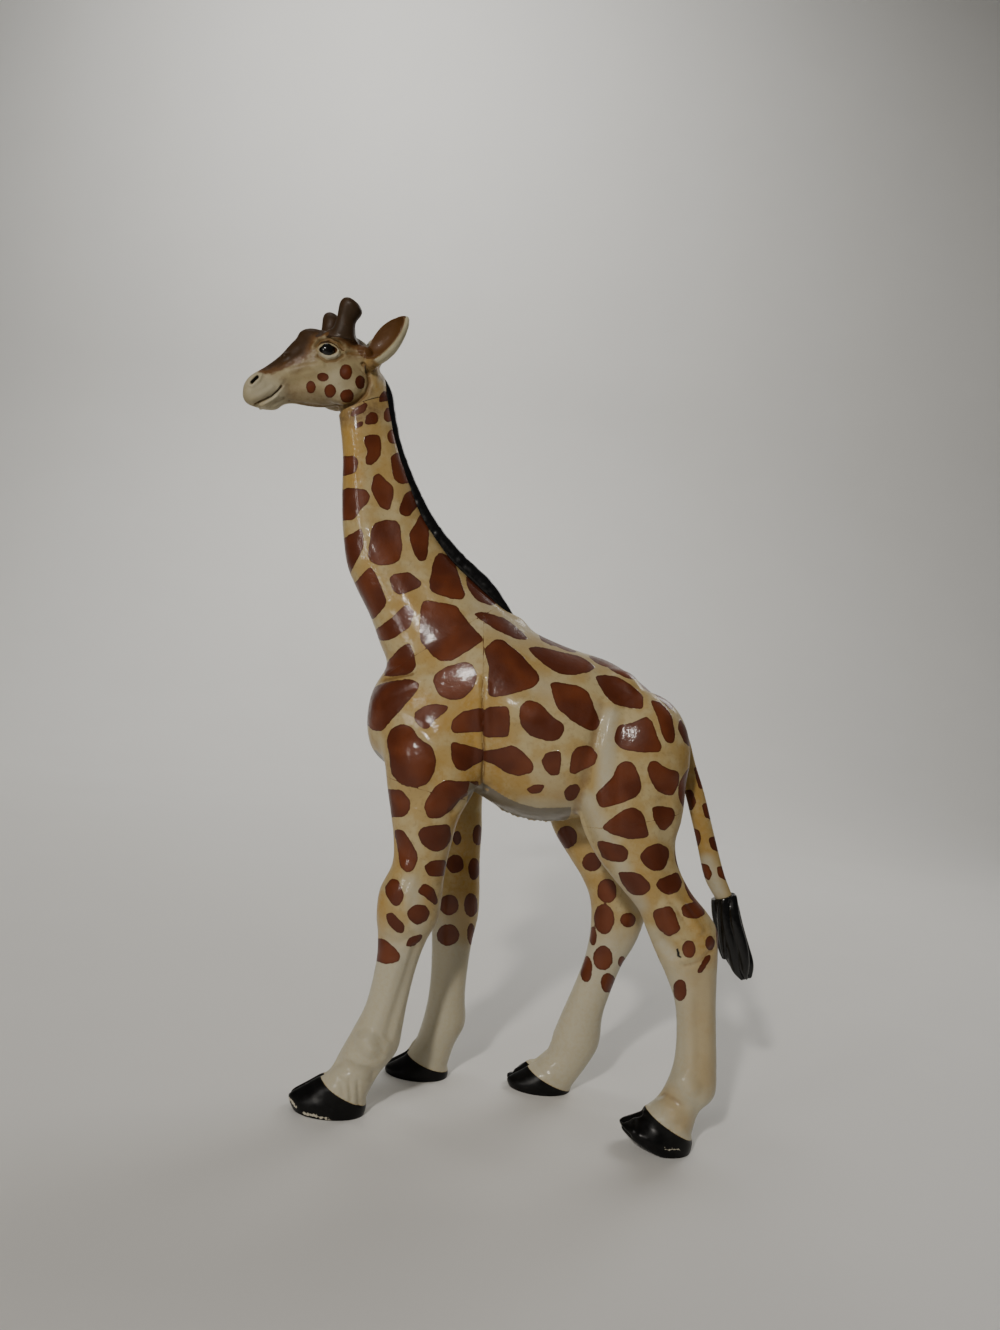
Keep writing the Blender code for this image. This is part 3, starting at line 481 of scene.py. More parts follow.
FORE_LEG_PATCHES = [
    [(418, 834), (423, 827), (450, 824), (451, 838), (445, 849), (434, 852), (423, 845)],
    [(394, 830), (403, 830), (414, 847), (418, 858), (414, 869), (407, 873), (400, 866), (398, 847)],
    [(424, 866), (432, 861), (446, 860), (446, 871), (443, 876), (428, 876)],
    [(385, 887), (392, 879), (398, 880), (404, 896), (400, 905), (394, 906), (387, 896)],
    [(417, 892), (424, 883), (434, 889), (438, 902), (435, 905), (426, 897)],
    [(407, 912), (414, 905), (425, 905), (430, 913), (426, 921), (416, 925), (409, 918)],
    [(386, 914), (392, 913), (404, 925), (403, 933), (396, 932), (388, 923)],
    [(406, 946), (409, 938), (422, 934), (422, 938), (414, 946)],
    [(374, 939), (385, 939), (400, 954), (399, 961), (387, 964), (374, 960)],
]
TAIL_PATCHES = [
    [(684, 790), (692, 790), (696, 802), (692, 810), (686, 809)],
    [(694, 767), (700, 767), (705, 788), (699, 789)],
    [(702, 805), (707, 802), (712, 820), (705, 817)],
    [(691, 828), (699, 830), (701, 840), (697, 848), (692, 838)],
    [(709, 838), (715, 836), (719, 852), (711, 848)],
    [(700, 863), (708, 865), (712, 874), (709, 881), (703, 875)],
    [(717, 867), (723, 866), (728, 881), (719, 877)],
]
PATCHES = {
    "neck": NECK_PATCHES,
    "body": BODY_PATCHES,
    "haunch": HAUNCH_PATCHES,
    "fore leg": FORE_LEG_PATCHES,
    "tail": TAIL_PATCHES,
}
# Patches on the rump and along the back, which the photograph doesn't show, on the left side: middle x, y, z,
# radius
REAR_PATCHES = [
    (41, -5.4, 80.6, 3), (40.5, -11.4, 75.6, 3.4), (40.5, -4.6, 72.6, 2.4), (40.6, -8.6, 67, 3),
    (41.6, -11.4, 61.6, 2.5), (45, -12.4, 55.4, 2.7), (51, -12, 46.4, 2.3), (30, -4.6, 62, 2.6),
    (34, -6, 57, 2.2), (38.6, -4.6, 87.4, 2.9), (31, -4.4, 95.4, 3.2), (22.5, -4, 100.2, 3),
    (13.5, -3.4, 103.2, 2.6),
]
# Rounder patches: middle u, v, width, height in pixels
ROUND_PATCHES = {
    "haunch": [(689, 949, 13, 17), (710, 943, 9, 14), (680, 990, 13, 21)],
    "inner hind leg": [
        (567, 837, 20, 22), (592, 862, 19, 18), (607, 891, 19, 24), (604, 919, 20, 30), (628, 920, 15, 14),
        (593, 936, 7, 18), (603, 958, 19, 24), (586, 969, 12, 26), (622, 962, 7, 11), (608, 983, 14, 19),
    ],
    "inner fore leg": [
        (457, 838, 8, 13), (478, 835, 10, 20), (455, 864, 17, 18), (474, 869, 11, 21), (449, 905, 19, 20),
        (471, 905, 13, 23), (448, 935, 22, 21), (471, 934, 7, 21),
    ],
    "cheek": [(311, 387, 9, 12), (323, 377, 11, 8), (330, 391, 11, 13), (346, 372, 12, 15), (360, 382, 9, 13),
              (347, 396, 13, 13)],
}
FACE_BROWN = [
    (258, 372), (266, 374), (274, 373), (284, 368.5), (299, 362), (309, 355), (311.5, 346), (315, 339.5),
    (322, 336), (334, 336), (342, 341.5), (350, 348), (362, 350), (370, 358), (378, 358), (388, 340),
    (372, 290), (290, 290), (240, 350),
]
# The mould line under the belly, with its beads, lies a little towards the left side
MOULD_LINE_Y = -2.3
BELLY_LINE = [(470, 782), (484, 789), (505, 801), (539, 808), (579, 807), (600, 800)]
# Washes of paint, with painted shade and painted highlight among them where marked, dark marks at the hock
# and chips: start u, v, end u, v, radius in pixels, strength
OCHRE_WASHES = [
    (351, 412, 354, 480, 17, 0.95), (374, 420, 384, 500, 16, 0.4), (358, 540, 380, 600, 14, 0.35),
    (404, 600, 432, 650, 24, 0.6), (396, 690, 450, 722, 26, 0.8), (470, 690, 474, 780, 26, 0.95),
    (496, 700, 497, 790, 20, 0.8), (505, 774, 552, 796, 19, 0.55), (440, 780, 436, 760, 20, 0.6),
    (640, 846, 642, 900, 22, 0.55), (690, 896, 706, 962, 15, 0.75), (701, 985, 704, 1080, 27, 0.6),
    (668, 1096, 684, 1122, 18, 0.6), (688, 752, 706, 850, 13, 0.75), (706, 850, 712, 868, 8, 0.3),
    # (462, 826, 466, 930), on the far foreleg's upper inner side, is partly ochre paint and partly painted
    # shade
    (382, 896, 380, 946, 8, 0.8), (394, 820, 398, 872, 9, 0.45), (462, 826, 466, 930, 22, 0.85),
    (369, 350, 374, 366, 12, 0.9), (352, 404, 366, 396, 9, 0.5), (374, 376, 384, 400, 13, 0.55),
    (520, 650, 560, 700, 16, 0.3), (560, 826, 600, 890, 14, 0.4),
]
WHITE_WASHES = [
    (256, 388, 276, 396, 22, 0.7), (292, 392, 336, 400, 13, 0.2), (402, 960, 348, 1100, 34, 1.0),
    (411, 884, 420, 930, 13, 0.7), (588, 800, 640, 905, 13, 0.7), (655, 936, 688, 1000, 15, 0.6),
    (606, 950, 560, 1078, 32, 0.9), (452, 960, 430, 1064, 34, 1.0), (488, 612, 610, 662, 27, 0.6),
    # (610, 716, 604, 796), along the thigh's ridge, is painted highlight
    (610, 716, 604, 796, 13, 0.8), (540, 772, 566, 800, 18, 0.25), (540, 684, 600, 716, 17, 0.45),
    (640, 1010, 678, 1060, 16, 0.4), (524, 805, 578, 806, 12, 0.5), (340, 384, 340, 384, 20, 0.3),
    (706, 862, 718, 892, 12, 0.9), (660, 944, 672, 956, 12, 0.9), (320, 354, 329, 357.5, 3.4, 1.0),
    (329, 357.5, 338, 355, 3.4, 1.0), (319, 349, 326, 344.6, 2.2, 0.8), (326, 344.6, 338, 350, 2.2, 0.8),
]
# Tan washes: the ring round the eye and the brown behind it are paint; the tan under the jaw and on the neck
# below it is painted shade
TAN_PAINT_AND_SHADE_WASHES = [
    (296, 368, 314, 356, 9, 0.6), (313.5, 352, 316, 342, 5, 0.7), (317, 340, 334, 339, 4.5, 0.7),
    (335, 339.5, 344, 348, 5, 0.7), (350, 353, 374, 357, 9, 0.75), (366, 366, 370, 392, 6, 0.6),
    # (300, 406, 340, 411) and (290, 394, 338, 403), under the jaw, are painted shade
    (366, 396, 348, 407, 6, 0.6), (330, 362, 344, 358, 5, 0.5), (300, 406, 340, 411, 8, 0.8),
    (290, 394, 338, 403, 13, 0.5), (284, 380, 288, 398, 7, 0.35), (376, 352, 372, 366, 8, 0.8),
    # (338, 417, 374, 411), on the neck under the jaw, is painted shade
    (338, 417, 374, 411, 16, 0.75),
]
BODY_DARK_MARKS = [(677.4, 949.5, 678.6, 955, 1.7, 1.0), (677, 955, 681, 957.5, 1.3, 0.8)]
PAINT_CHIPS = [
    (303, 1113, 330, 1120, 2.2, 1.0), (289, 1098, 296, 1107, 2.2, 1.0), (664, 1148, 680, 1150, 1.6, 0.8),
]


# Forms
workshop = bpy.data.collections.new("workshop")
bpy.context.scene.collection.children.link(workshop)


def new_object(name, mesh):
    item = bpy.data.objects.new(name, mesh)
    workshop.objects.link(item)
    return item


def mesh_object(name, shape):
    bmesh.ops.recalc_face_normals(shape, faces=shape.faces)
    mesh = bpy.data.meshes.new(name)
    shape.to_mesh(mesh)
    shape.free()
    return new_object(name, mesh)


def between(rows, steps):
    """The rows with smooth in-between rows, on a curve through every row."""
    rows = np.array(rows, dtype=float)
    padded = np.vstack([2 * rows[0] - rows[1], rows, 2 * rows[-1] - rows[-2]])
    out = []
    for i in range(1, len(padded) - 2):
        before, start, end, after = padded[i - 1:i + 3]
        for step in range(steps):
            t = step / steps
            out.append(0.5 * (2 * start + (end - before) * t
                              + (2 * before - 5 * start + 4 * end - after) * t ** 2
                              + (3 * start - before - 3 * end + after) * t ** 3))
    out.append(rows[-1])
    return np.array(out)


def loft(name, sections, steps=6, sides=40, low=0.0, grow=0.0):
    """A closed skin over elliptic sections; low moves their widest place towards the back point."""
    shape = bmesh.new()
    rings = []
    for front_x, front_z, back_x, back_z, middle_y, half_width in between(sections, steps):
        front, back = Vector((front_x, 0, front_z)), Vector((back_x, 0, back_z))
        middle, half = (front + back) / 2, (front - back) / 2
        half *= 1 + grow / half.length
        ring = []
        for k in range(sides):
            turn = math.tau * k / sides
            place = middle + half * (math.cos(turn) - low * math.sin(turn) ** 2)
            place.y = middle_y + (half_width + grow) * math.sin(turn)
            ring.append(shape.verts.new(place))
        rings.append(ring)
    for ring, following in zip(rings, rings[1:]):
        for k in range(sides):
            n = (k + 1) % sides
            shape.faces.new((ring[k], ring[n], following[n], following[k]))
    shape.faces.new(rings[0])
    shape.faces.new(rings[-1])
    return mesh_object(name, shape)


def swelling(name, x, y, z, half_x, half_y, half_z, lean, segments=40):
    shape = bmesh.new()
    bmesh.ops.create_uvsphere(shape, u_segments=segments, v_segments=segments // 2, radius=1)
    place = (Matrix.Translation((x, y, z)) @ Matrix.Rotation(math.radians(lean), 4, "Y")
             @ Matrix.Diagonal((half_x, half_y, half_z, 1)))
    bmesh.ops.transform(shape, matrix=place, verts=shape.verts)
    return mesh_object(name, shape)


def swellings(paired, single=()):
    """The single swellings, then each paired one on both sides."""
    forms = [swelling("swelling", *row) for row in single]
    for x, y, z, *rest in paired:
        forms += [swelling("swelling", x, side * y, z, *rest) for side in (-1, 1)]
    return forms


def hoof_sections(x, y, length, height, toe_rise):
    rows = []
    for front_x, front_z, back_x, back_z, _, half_width in HOOF:
        rise = toe_rise * (1 - front_z / HOOF[0][1])
        front = (x + front_x * length, front_z * height + rise)
        rows.append((*front, x + back_x * length, back_z * height, y, half_width))
    return rows


def bake(item):
    """Give the object the mesh that its modifiers make."""
    graph = bpy.context.evaluated_depsgraph_get()
    mesh = bpy.data.meshes.new_from_object(item.evaluated_get(graph))
    item.modifiers.clear()
    item.data = mesh
    return item


def join(name, forms):
    whole = bmesh.new()
    for form in forms:
        whole.from_mesh(form.data)
        bpy.data.objects.remove(form)
    return mesh_object(name, whole)


def add_smoothing(item, softness, voxel, group=""):
    """Smooth a skin whose points are a voxel apart, over a width of softness."""
    smooth = item.modifiers.new("Smooth", "SMOOTH")
    smooth.factor = 0.5
    smooth.iterations = max(1, round((softness / voxel) ** 2))
    smooth.vertex_group = group


def fuse(item, voxel, softness):
    """One skin round overlapping forms, with the creases between them softened over that width."""
    skin = item.modifiers.new("Skin", "REMESH")
    skin.mode = "VOXEL"
    skin.voxel_size = voxel
    add_smoothing(item, softness, voxel)
    return bake(item)


def soften(item, weights, softness, levels=6):
    """Smooth the body's skin over that width where the weights are high."""
    group = item.vertex_groups.new(name="soft")
    steps = np.round(weights * levels).astype(int)
    for step in range(1, levels + 1):
        group.add(np.nonzero(steps == step)[0].tolist(), step / levels, "REPLACE")
    add_smoothing(item, softness, BODY_VOXEL, group.name)
    bake(item)
    item.vertex_groups.clear()


HEAD_PLACE = Matrix.Translation(POLL) @ Matrix.Rotation(HEAD_TURN, 4, "Z") @ Matrix.Translation(-POLL)


def turn_head(item):
    item.data.transform(HEAD_PLACE)
    return item


# Cutting
def block(x_range, y_range, z_range, pivot=None, lean=0):
    """A box between the given limits, leant about its pivot (x, z)."""
    shape = bmesh.new()
    bmesh.ops.create_cube(shape, size=1)
    low = Vector((x_range[0], y_range[0], z_range[0]))
    high = Vector((x_range[1], y_range[1], z_range[1]))
    place = Matrix.Translation((low + high) / 2) @ Matrix.Diagonal((*(high - low), 1))
    if pivot:
        base = Vector((pivot[0], 0, pivot[1]))
        place = (Matrix.Translation(base) @ Matrix.Rotation(-math.radians(lean), 4, "Y")
                 @ Matrix.Translation(-base) @ place)
    bmesh.ops.transform(shape, matrix=place, verts=shape.verts)
    return mesh_object("block", shape)


def around(middle):
    return middle - REACH, middle + REACH


def below(plane, gap=HAIRLINE / 2):
    """Everything under a parting plane."""
    (x, z), lean = plane
    return block(around(x), around(0), (z - REACH, z - gap), (x, z), lean)


def above(plane, gap=HAIRLINE / 2):
    (x, z), lean = plane
    return block(around(x), around(0), (z + gap, z + REACH), (x, z), lean)


def combine(item, tool, operation):
    change = item.modifiers.new("Boolean", "BOOLEAN")
    change.operation = operation
    change.solver = "MANIFOLD"
    change.object = tool
    bake(item)
    bpy.data.objects.remove(tool)
    return item


def portion(item, name, *tools):
    """The part of a form that lies inside every tool."""
    piece = new_object(name, item.data.copy())
    for tool in tools:
        combine(piece, tool, "INTERSECT")
    return piece


# Surfaces as arrays
FAR_OFF = 1e9
NO_PATCH = -3.0
# Each paint's number for a surface that has none of it: depths in millimetres, and strengths
NO_PAINT = {"patch": NO_PATCH, "bare": NO_PATCH, "face": NO_PATCH, "ochre": 0.0, "white": 0.0, "tan": 0.0,
            "hollow": 0.0, "chip": 0.0, "dark": 0.0, "recess": 0.0}
CORNER_CUTS = (0.16, 0.24)
PATCH_MARGIN_PIXELS = 14
BLOB_SHAPE = (0.8, 1.0, 0.85)
WASH_FALL = 1.5
RECESS_WIDTH_ROUNDS = 6
RECESS_SMOOTHING_ROUNDS = 2


def vectors_of(points, name):
    out = np.empty(len(points) * 3, dtype=np.float32)
    points.foreach_get(name, out)
    return out.reshape(-1, 3).astype(float)


def places_of(item):
    return vectors_of(item.data.vertices, "co")


def normals_of(item):
    return vectors_of(item.data.vertex_normals, "vector")


def move_to(item, places):
    item.data.vertices.foreach_set("co", places.astype(np.float32).ravel())
    item.data.update()


def keep_paints(item, **paints):
    """Store every paint's number for each point of the surface; a paint that isn't given is absent."""
    for name, absent in NO_PAINT.items():
        values = paints.get(name, np.full(len(item.data.vertices), absent))
        attribute = item.data.attributes.new(name, "FLOAT", "POINT")
        attribute.data.foreach_set("value", values.astype(np.float32))


def smooth_step(values, low, high):
    t = np.clip((values - low) / (high - low), 0, 1)
    return t * t * (3 - 2 * t)


def hump(distance, half_width, fall=2):
    """A smooth hump: 1 in its middle, and 0 from its half width on."""
    return (1 - np.minimum(np.abs(distance) / half_width, 1) ** 2) ** fall


def in_photo(places):
    """Where the photograph's camera sees places, in its pixels."""
    depth = (CAMERA_AWAY + places[:, 1]) / FOCAL_PIXELS
    across = places[:, 0] / depth
    down = (CAMERA_HEIGHT - places[:, 2]) / depth
    c, s = math.cos(CAMERA_ROLL), math.sin(CAMERA_ROLL)
    u = PICTURE_MIDDLE[0] + across * c - down * s
    v = PICTURE_MIDDLE[1] + across * s + down * c
    return np.stack([u, v], axis=1)


def facing(places, normals):
    """How squarely each place faces the photograph's camera."""
    view = places - np.array([0, -CAMERA_AWAY, CAMERA_HEIGHT])
    return -(normals * view).sum(axis=1) / np.linalg.norm(view, axis=1)


def mirrored(vectors):
    """The same on the other side of the middle plane."""
    out = vectors.copy()
    out[:, 1] = -out[:, 1]
    return out


def folded(places):
    """Every place on the near side, which is towards -Y."""
    out = places.copy()
    out[:, 1] = -np.abs(out[:, 1])
    return out


def as_near(side, *arrays):
    """Places or normals as they are for the near side, -1, and mirrored for the far side, 1."""
    return arrays if side < 0 else [mirrored(array) for array in arrays]


def turned(vectors, pivot=True):
    """Head places, or directions, after the head's turn."""
    turn = np.array(HEAD_PLACE)
    moved = vectors @ turn[:3, :3].T
    return moved + turn[:3, 3] if pivot else moved


def from_segment(spots, start, end):
    """The share of the segment, 0 to 1, at which each spot's nearest point is, and the offset from there."""
    run = end - start
    share = np.clip((spots - start) @ run / (run @ run), 0, 1)
    return share, spots - start - share[:, None] * run


def from_path(spots, path):
    """The distance of every spot from a path."""
    path = np.array(path, dtype=float)
    nearest = np.full(len(spots), FAR_OFF)
    for start, end in zip(path, path[1:]):
        nearest = np.minimum(nearest, np.linalg.norm(from_segment(spots, start, end)[1], axis=1))
    return nearest


def run_along(places, path):
    """For each place, how far along the path its nearest point is, and the place's offset from it."""
    nearest = np.full(len(places), FAR_OFF)
    run_at = np.zeros(len(places))
    offset = np.zeros_like(places)
    start_run = 0.0
    for start, end in zip(path, path[1:]):
        length = np.linalg.norm(end - start)
        share, away = from_segment(places, start, end)
        distance = np.linalg.norm(away, axis=1)
        closer = distance < nearest
        nearest = np.where(closer, distance, nearest)
        run_at = np.where(closer, start_run + share * length, run_at)
        offset = np.where(closer[:, None], away, offset)
        start_run += length
    return run_at, offset


def press_lines(places, normals, spots, seen, lines):
    """Press each line into the surface where it faces the camera that saw it."""
    for path, half_width, depth in lines.values():
        places -= normals * (depth * seen * hump(from_path(spots, path), half_width))[:, None]


def inside_by(spots, outline):
    """How far each spot lies inside the outline; outside it is negative."""
    closed = np.vstack([outline, outline[:1]])
    crossings = np.zeros(len(spots), dtype=int)
    for start, end in zip(closed, closed[1:]):
        run = end - start
        straddles = (start[1] > spots[:, 1]) != (end[1] > spots[:, 1])
        rise = run[1] if run[1] else 1e-9
        crossings += straddles & (spots[:, 0] < start[0] + run[0] * (spots[:, 1] - start[1]) / rise)
    nearest = from_path(spots, closed)
    return np.where(crossings % 2 == 1, nearest, -nearest)


def rounded(outline):
    """The outline with its corners cut once for each of the cuts."""
    points = np.array(outline, dtype=float)
    for cut in CORNER_CUTS:
        following = np.roll(points, -1, axis=0)
        pair = np.stack([points * (1 - cut) + following * cut, points * cut + following * (1 - cut)], axis=1)
        points = pair.reshape(-1, 2)
    return points


def oval(u, v, width, height, points=14):
    turns = np.arange(points) * math.tau / points
    return np.stack([u + width / 2 * np.cos(turns), v + height / 2 * np.sin(turns)], axis=1)


def patch_depth(spots, groups):
    """How far each spot lies inside the nearest patch of the named groups, in millimetres."""
    outlines = [rounded(outline) for group in groups for outline in PATCHES.get(group, [])]
    outlines += [oval(*row) for group in groups for row in ROUND_PATCHES.get(group, [])]
    depth = np.full(len(spots), -float(PATCH_MARGIN_PIXELS))
    for outline in outlines:
        low, high = outline.min(axis=0) - PATCH_MARGIN_PIXELS, outline.max(axis=0) + PATCH_MARGIN_PIXELS
        near = np.nonzero(np.all((spots > low) & (spots < high), axis=1))[0]
        if len(near):
            depth[near] = np.maximum(depth[near], inside_by(spots[near], outline))
    return depth * MILLIMETRES_PER_PIXEL


def blob_depth(places, blobs):
    """How far each place lies inside the nearest round patch, in millimetres."""
    depth = np.full(len(places), NO_PATCH)
    for x, y, z, radius in blobs:
        away = np.linalg.norm((places - np.array([x, y, z])) * np.array(BLOB_SHAPE), axis=1)
        depth = np.maximum(depth, radius - away)
    return depth


def wash(spots, marks):
    """Soft brushed marks, from 0 to their strength."""
    out = np.zeros(len(spots))
    for u0, v0, u1, v1, radius, strength in marks:
        away = from_path(spots, [(u0, v0), (u1, v1 + 0.01)])
        out = np.maximum(out, strength * hump(away, radius, WASH_FALL))
    return out


def recess(item):
    """How deep each point lies in a crease, from the surface's own curving."""
    places, normals = places_of(item), normals_of(item)
    edges = np.empty(len(item.data.edges) * 2, dtype=np.int32)
    item.data.edges.foreach_get("vertices", edges)
    edges = edges.reshape(-1, 2)
    count = np.bincount(edges.ravel(), minlength=len(places)).astype(float)
    count[count == 0] = 1

    def spread(values):
        total = np.zeros_like(values)
        np.add.at(total, edges[:, 0], values[edges[:, 1]])
        np.add.at(total, edges[:, 1], values[edges[:, 0]])
        return total / (count[:, None] if values.ndim == 2 else count)

    smooth = places
    for _ in range(RECESS_WIDTH_ROUNDS):
        smooth = spread(smooth)
    depth = ((smooth - places) * normals).sum(axis=1)
    for _ in range(RECESS_SMOOTHING_ROUNDS):
        depth = spread(depth)
    return depth


# Sculpting
LEGS = (LEFT_FORELEG, RIGHT_FORELEG, LEFT_HIND_LEG, RIGHT_HIND_LEG)
NECK_LOW = -0.3
TRUNK_LOW = 0.05
SOFT_VOXELS = 1.3
# Each pair is where something starts and where it is full: heights and places along X in millimetres, and
# normals or the facing of the camera from -1 to 1
BODY_SEEN = (0.05, 0.4)
HEAD_SEEN = (-0.1, 0.2)
# No line is pressed nearer to the middle plane than this
BODY_LINES_FROM = 2
HEAD_LINES_FROM = 0.4
SOFT_TRUNK_BOTTOM = (60, 74)
SOFT_TRUNK_TOP = (124, 112)
LEG_TWIN_TOP = (74, 62)
LEG_TWIN_SPLIT_X = FORE_AND_HIND_SPLIT_X + 3
CLEFT_HALF_WIDTH = 1.1
CLEFT_DEPTH = 0.9
CLEFT_TOP = 11
CLEFT_FRONT = (0, 4)
CLEFT_LOW = (0, 3)
HOOF_REACH = 14
HOOF_TOP = 12
MOULD_LINE_HALF_WIDTH = 1.2
MOULD_LINE_HEIGHT = 0.36
MOULD_BEAD_HEIGHT = 0.2
MOULD_LINE_UNDER = (0.6, 0.9)
MOULD_LINE_FRONT = (2, 5)
MOULD_LINE_REAR = (21, 18)
BELLY_LOWEST = 60
BELLY_HIGHEST = 68


def limbs(neck):
    forms = [loft("neck", neck, low=NECK_LOW)] + [loft("leg", sections) for sections in LEGS]
    return forms + [loft("hoof", hoof_sections(*place), steps=4) for place in HOOVES.values()]


def mould_beads(x):
    """The uneven beads of the mould line, from -1 to 1."""
    return np.sin(x * 3.6) * np.sin(x * 1.7 + 1)


def cleave_hooves(places, normals):
    """Press the cleft into the front of each hoof."""
    for x, y, *_ in HOOVES.values():
        front = smooth_step(x + 1 - places[:, 0], *CLEFT_FRONT)
        low = smooth_step(CLEFT_TOP - places[:, 2], *CLEFT_LOW)
        at_hoof = (np.abs(places[:, 0] - x) < HOOF_REACH) & (places[:, 2] < HOOF_TOP)
        across = hump(places[:, 1] - y, CLEFT_HALF_WIDTH)
        places -= normals * (CLEFT_DEPTH * across * front * low * at_hoof)[:, None]


def raise_mould_line(places, normals):
    """Raise the beaded mould line under the belly."""
    x, y, z = places.T
    belly = smooth_step(-normals[:, 2], *MOULD_LINE_UNDER) * (z > BELLY_LOWEST) * (z < BELLY_HIGHEST)
    along = smooth_step(x, *MOULD_LINE_FRONT) * smooth_step(x, *MOULD_LINE_REAR)
    height = MOULD_LINE_HEIGHT + MOULD_BEAD_HEIGHT * mould_beads(x)
    line = hump(y - MOULD_LINE_Y, MOULD_LINE_HALF_WIDTH)
    places += normals * (height * line * belly * along)[:, None]


def detail_body(body):
    """The seams, folds, bones and tendons, the cloven hooves and the mould line under the belly."""
    places, normals = places_of(body), normals_of(body)
    for side in (-1, 1):
        near, near_normals = as_near(side, places, normals)
        seen = smooth_step(facing(near, near_normals), *BODY_SEEN) * (near[:, 1] < -BODY_LINES_FROM)
        press_lines(places, normals, in_photo(leg_twin(near, side)), seen, BODY_LINES)
    cleave_hooves(places, normals)
    raise_mould_line(places, normals)
    move_to(body, places)


def leg_middle(sections, z):
    rows = between(sections, 4)
    heights = (rows[:, 1] + rows[:, 3]) / 2
    order = np.argsort(heights)
    return np.interp(z, heights[order], ((rows[:, 0] + rows[:, 2]) / 2)[order])


def leg_twin(places, side):
    """Where a place of a right leg lies on the left leg, for side 1; places of the left side stay."""
    if side < 0:
        return places
    out = places.copy()
    z = places[:, 2]
    fore = leg_middle(LEFT_FORELEG, z) - leg_middle(RIGHT_FORELEG, z)
    hind = leg_middle(LEFT_HIND_LEG, z) - leg_middle(RIGHT_HIND_LEG, z)
    out[:, 0] += np.where(places[:, 0] < LEG_TWIN_SPLIT_X, fore, hind) * smooth_step(z, *LEG_TWIN_TOP)
    return out


# Painting the body: pairs as above, with widths and depths in millimetres and shares from 0 to 1
# How the right side's patches are bent, and shifted above the legs
RIGHT_SIDE = (-2, -12)
RIGHT_WANDER_X = 1.6
RIGHT_WANDER_Z = 1.4
RIGHT_SHIFT_X = 2.6
RIGHT_SHIFT_Z = 4.4
RIGHT_SHIFT_BOTTOM = (66, 80)
INNER_LEG_TOP = (72, 67)
INNER_LEG_SIDE = (0.2, -0.2)
INNER_LEG_FROM_MIDDLE = 3
# Where the surface turns away from the camera, traced patches end
UNSEEN = (0.02, -0.12)
UNSEEN_DEPTH = 3
# The line along the back at which the patches of both sides end
BACK_BOTTOM = 78
BACK_LINE_HALF_WIDTH = 0.6
BACK_LINE_WAVER = 0.25
# The bare belly, whose grey is darkened as painted shade: its front and rear on the left side and on the
# right, and its lowest and highest place
BARE_FRONT = (-3.5, 1.5)
BARE_REAR = (18, 13.5)
BARE_HEIGHTS = (63.2, 75)
BARE_SIDE = -0.3
# The bare chest between the forelegs, on faces that turn down, in the same grey darkened as painted shade
CHEST_UNDER = (0.5, 0.75)
CHEST_REAR = (19, 16)
CHEST_HALF_WIDTH = 10
# Cream on the beads of the mould line, where the bare grey stops: partly paint, partly painted highlight
# where the beads glint
FLASH_HALF_WIDTH = (0.9, 0.4)
FLASH_BEADS = (-0.3, 0.2)
FLASH_FRONT = 1
FLASH_DEPTH = 4
# White is weaker on top of the back, and covers the lower legs
TOP_WHITE_SLOPE = (0.5, 0.85)
TOP_WHITE_LOSS = 0.7
TOP_WHITE_BOTTOM = 80
LOW_LEG_TOP = (46, 34)
LOW_LEG_WHITE = 0.95
LOW_LEG_OCHRE = 0.85


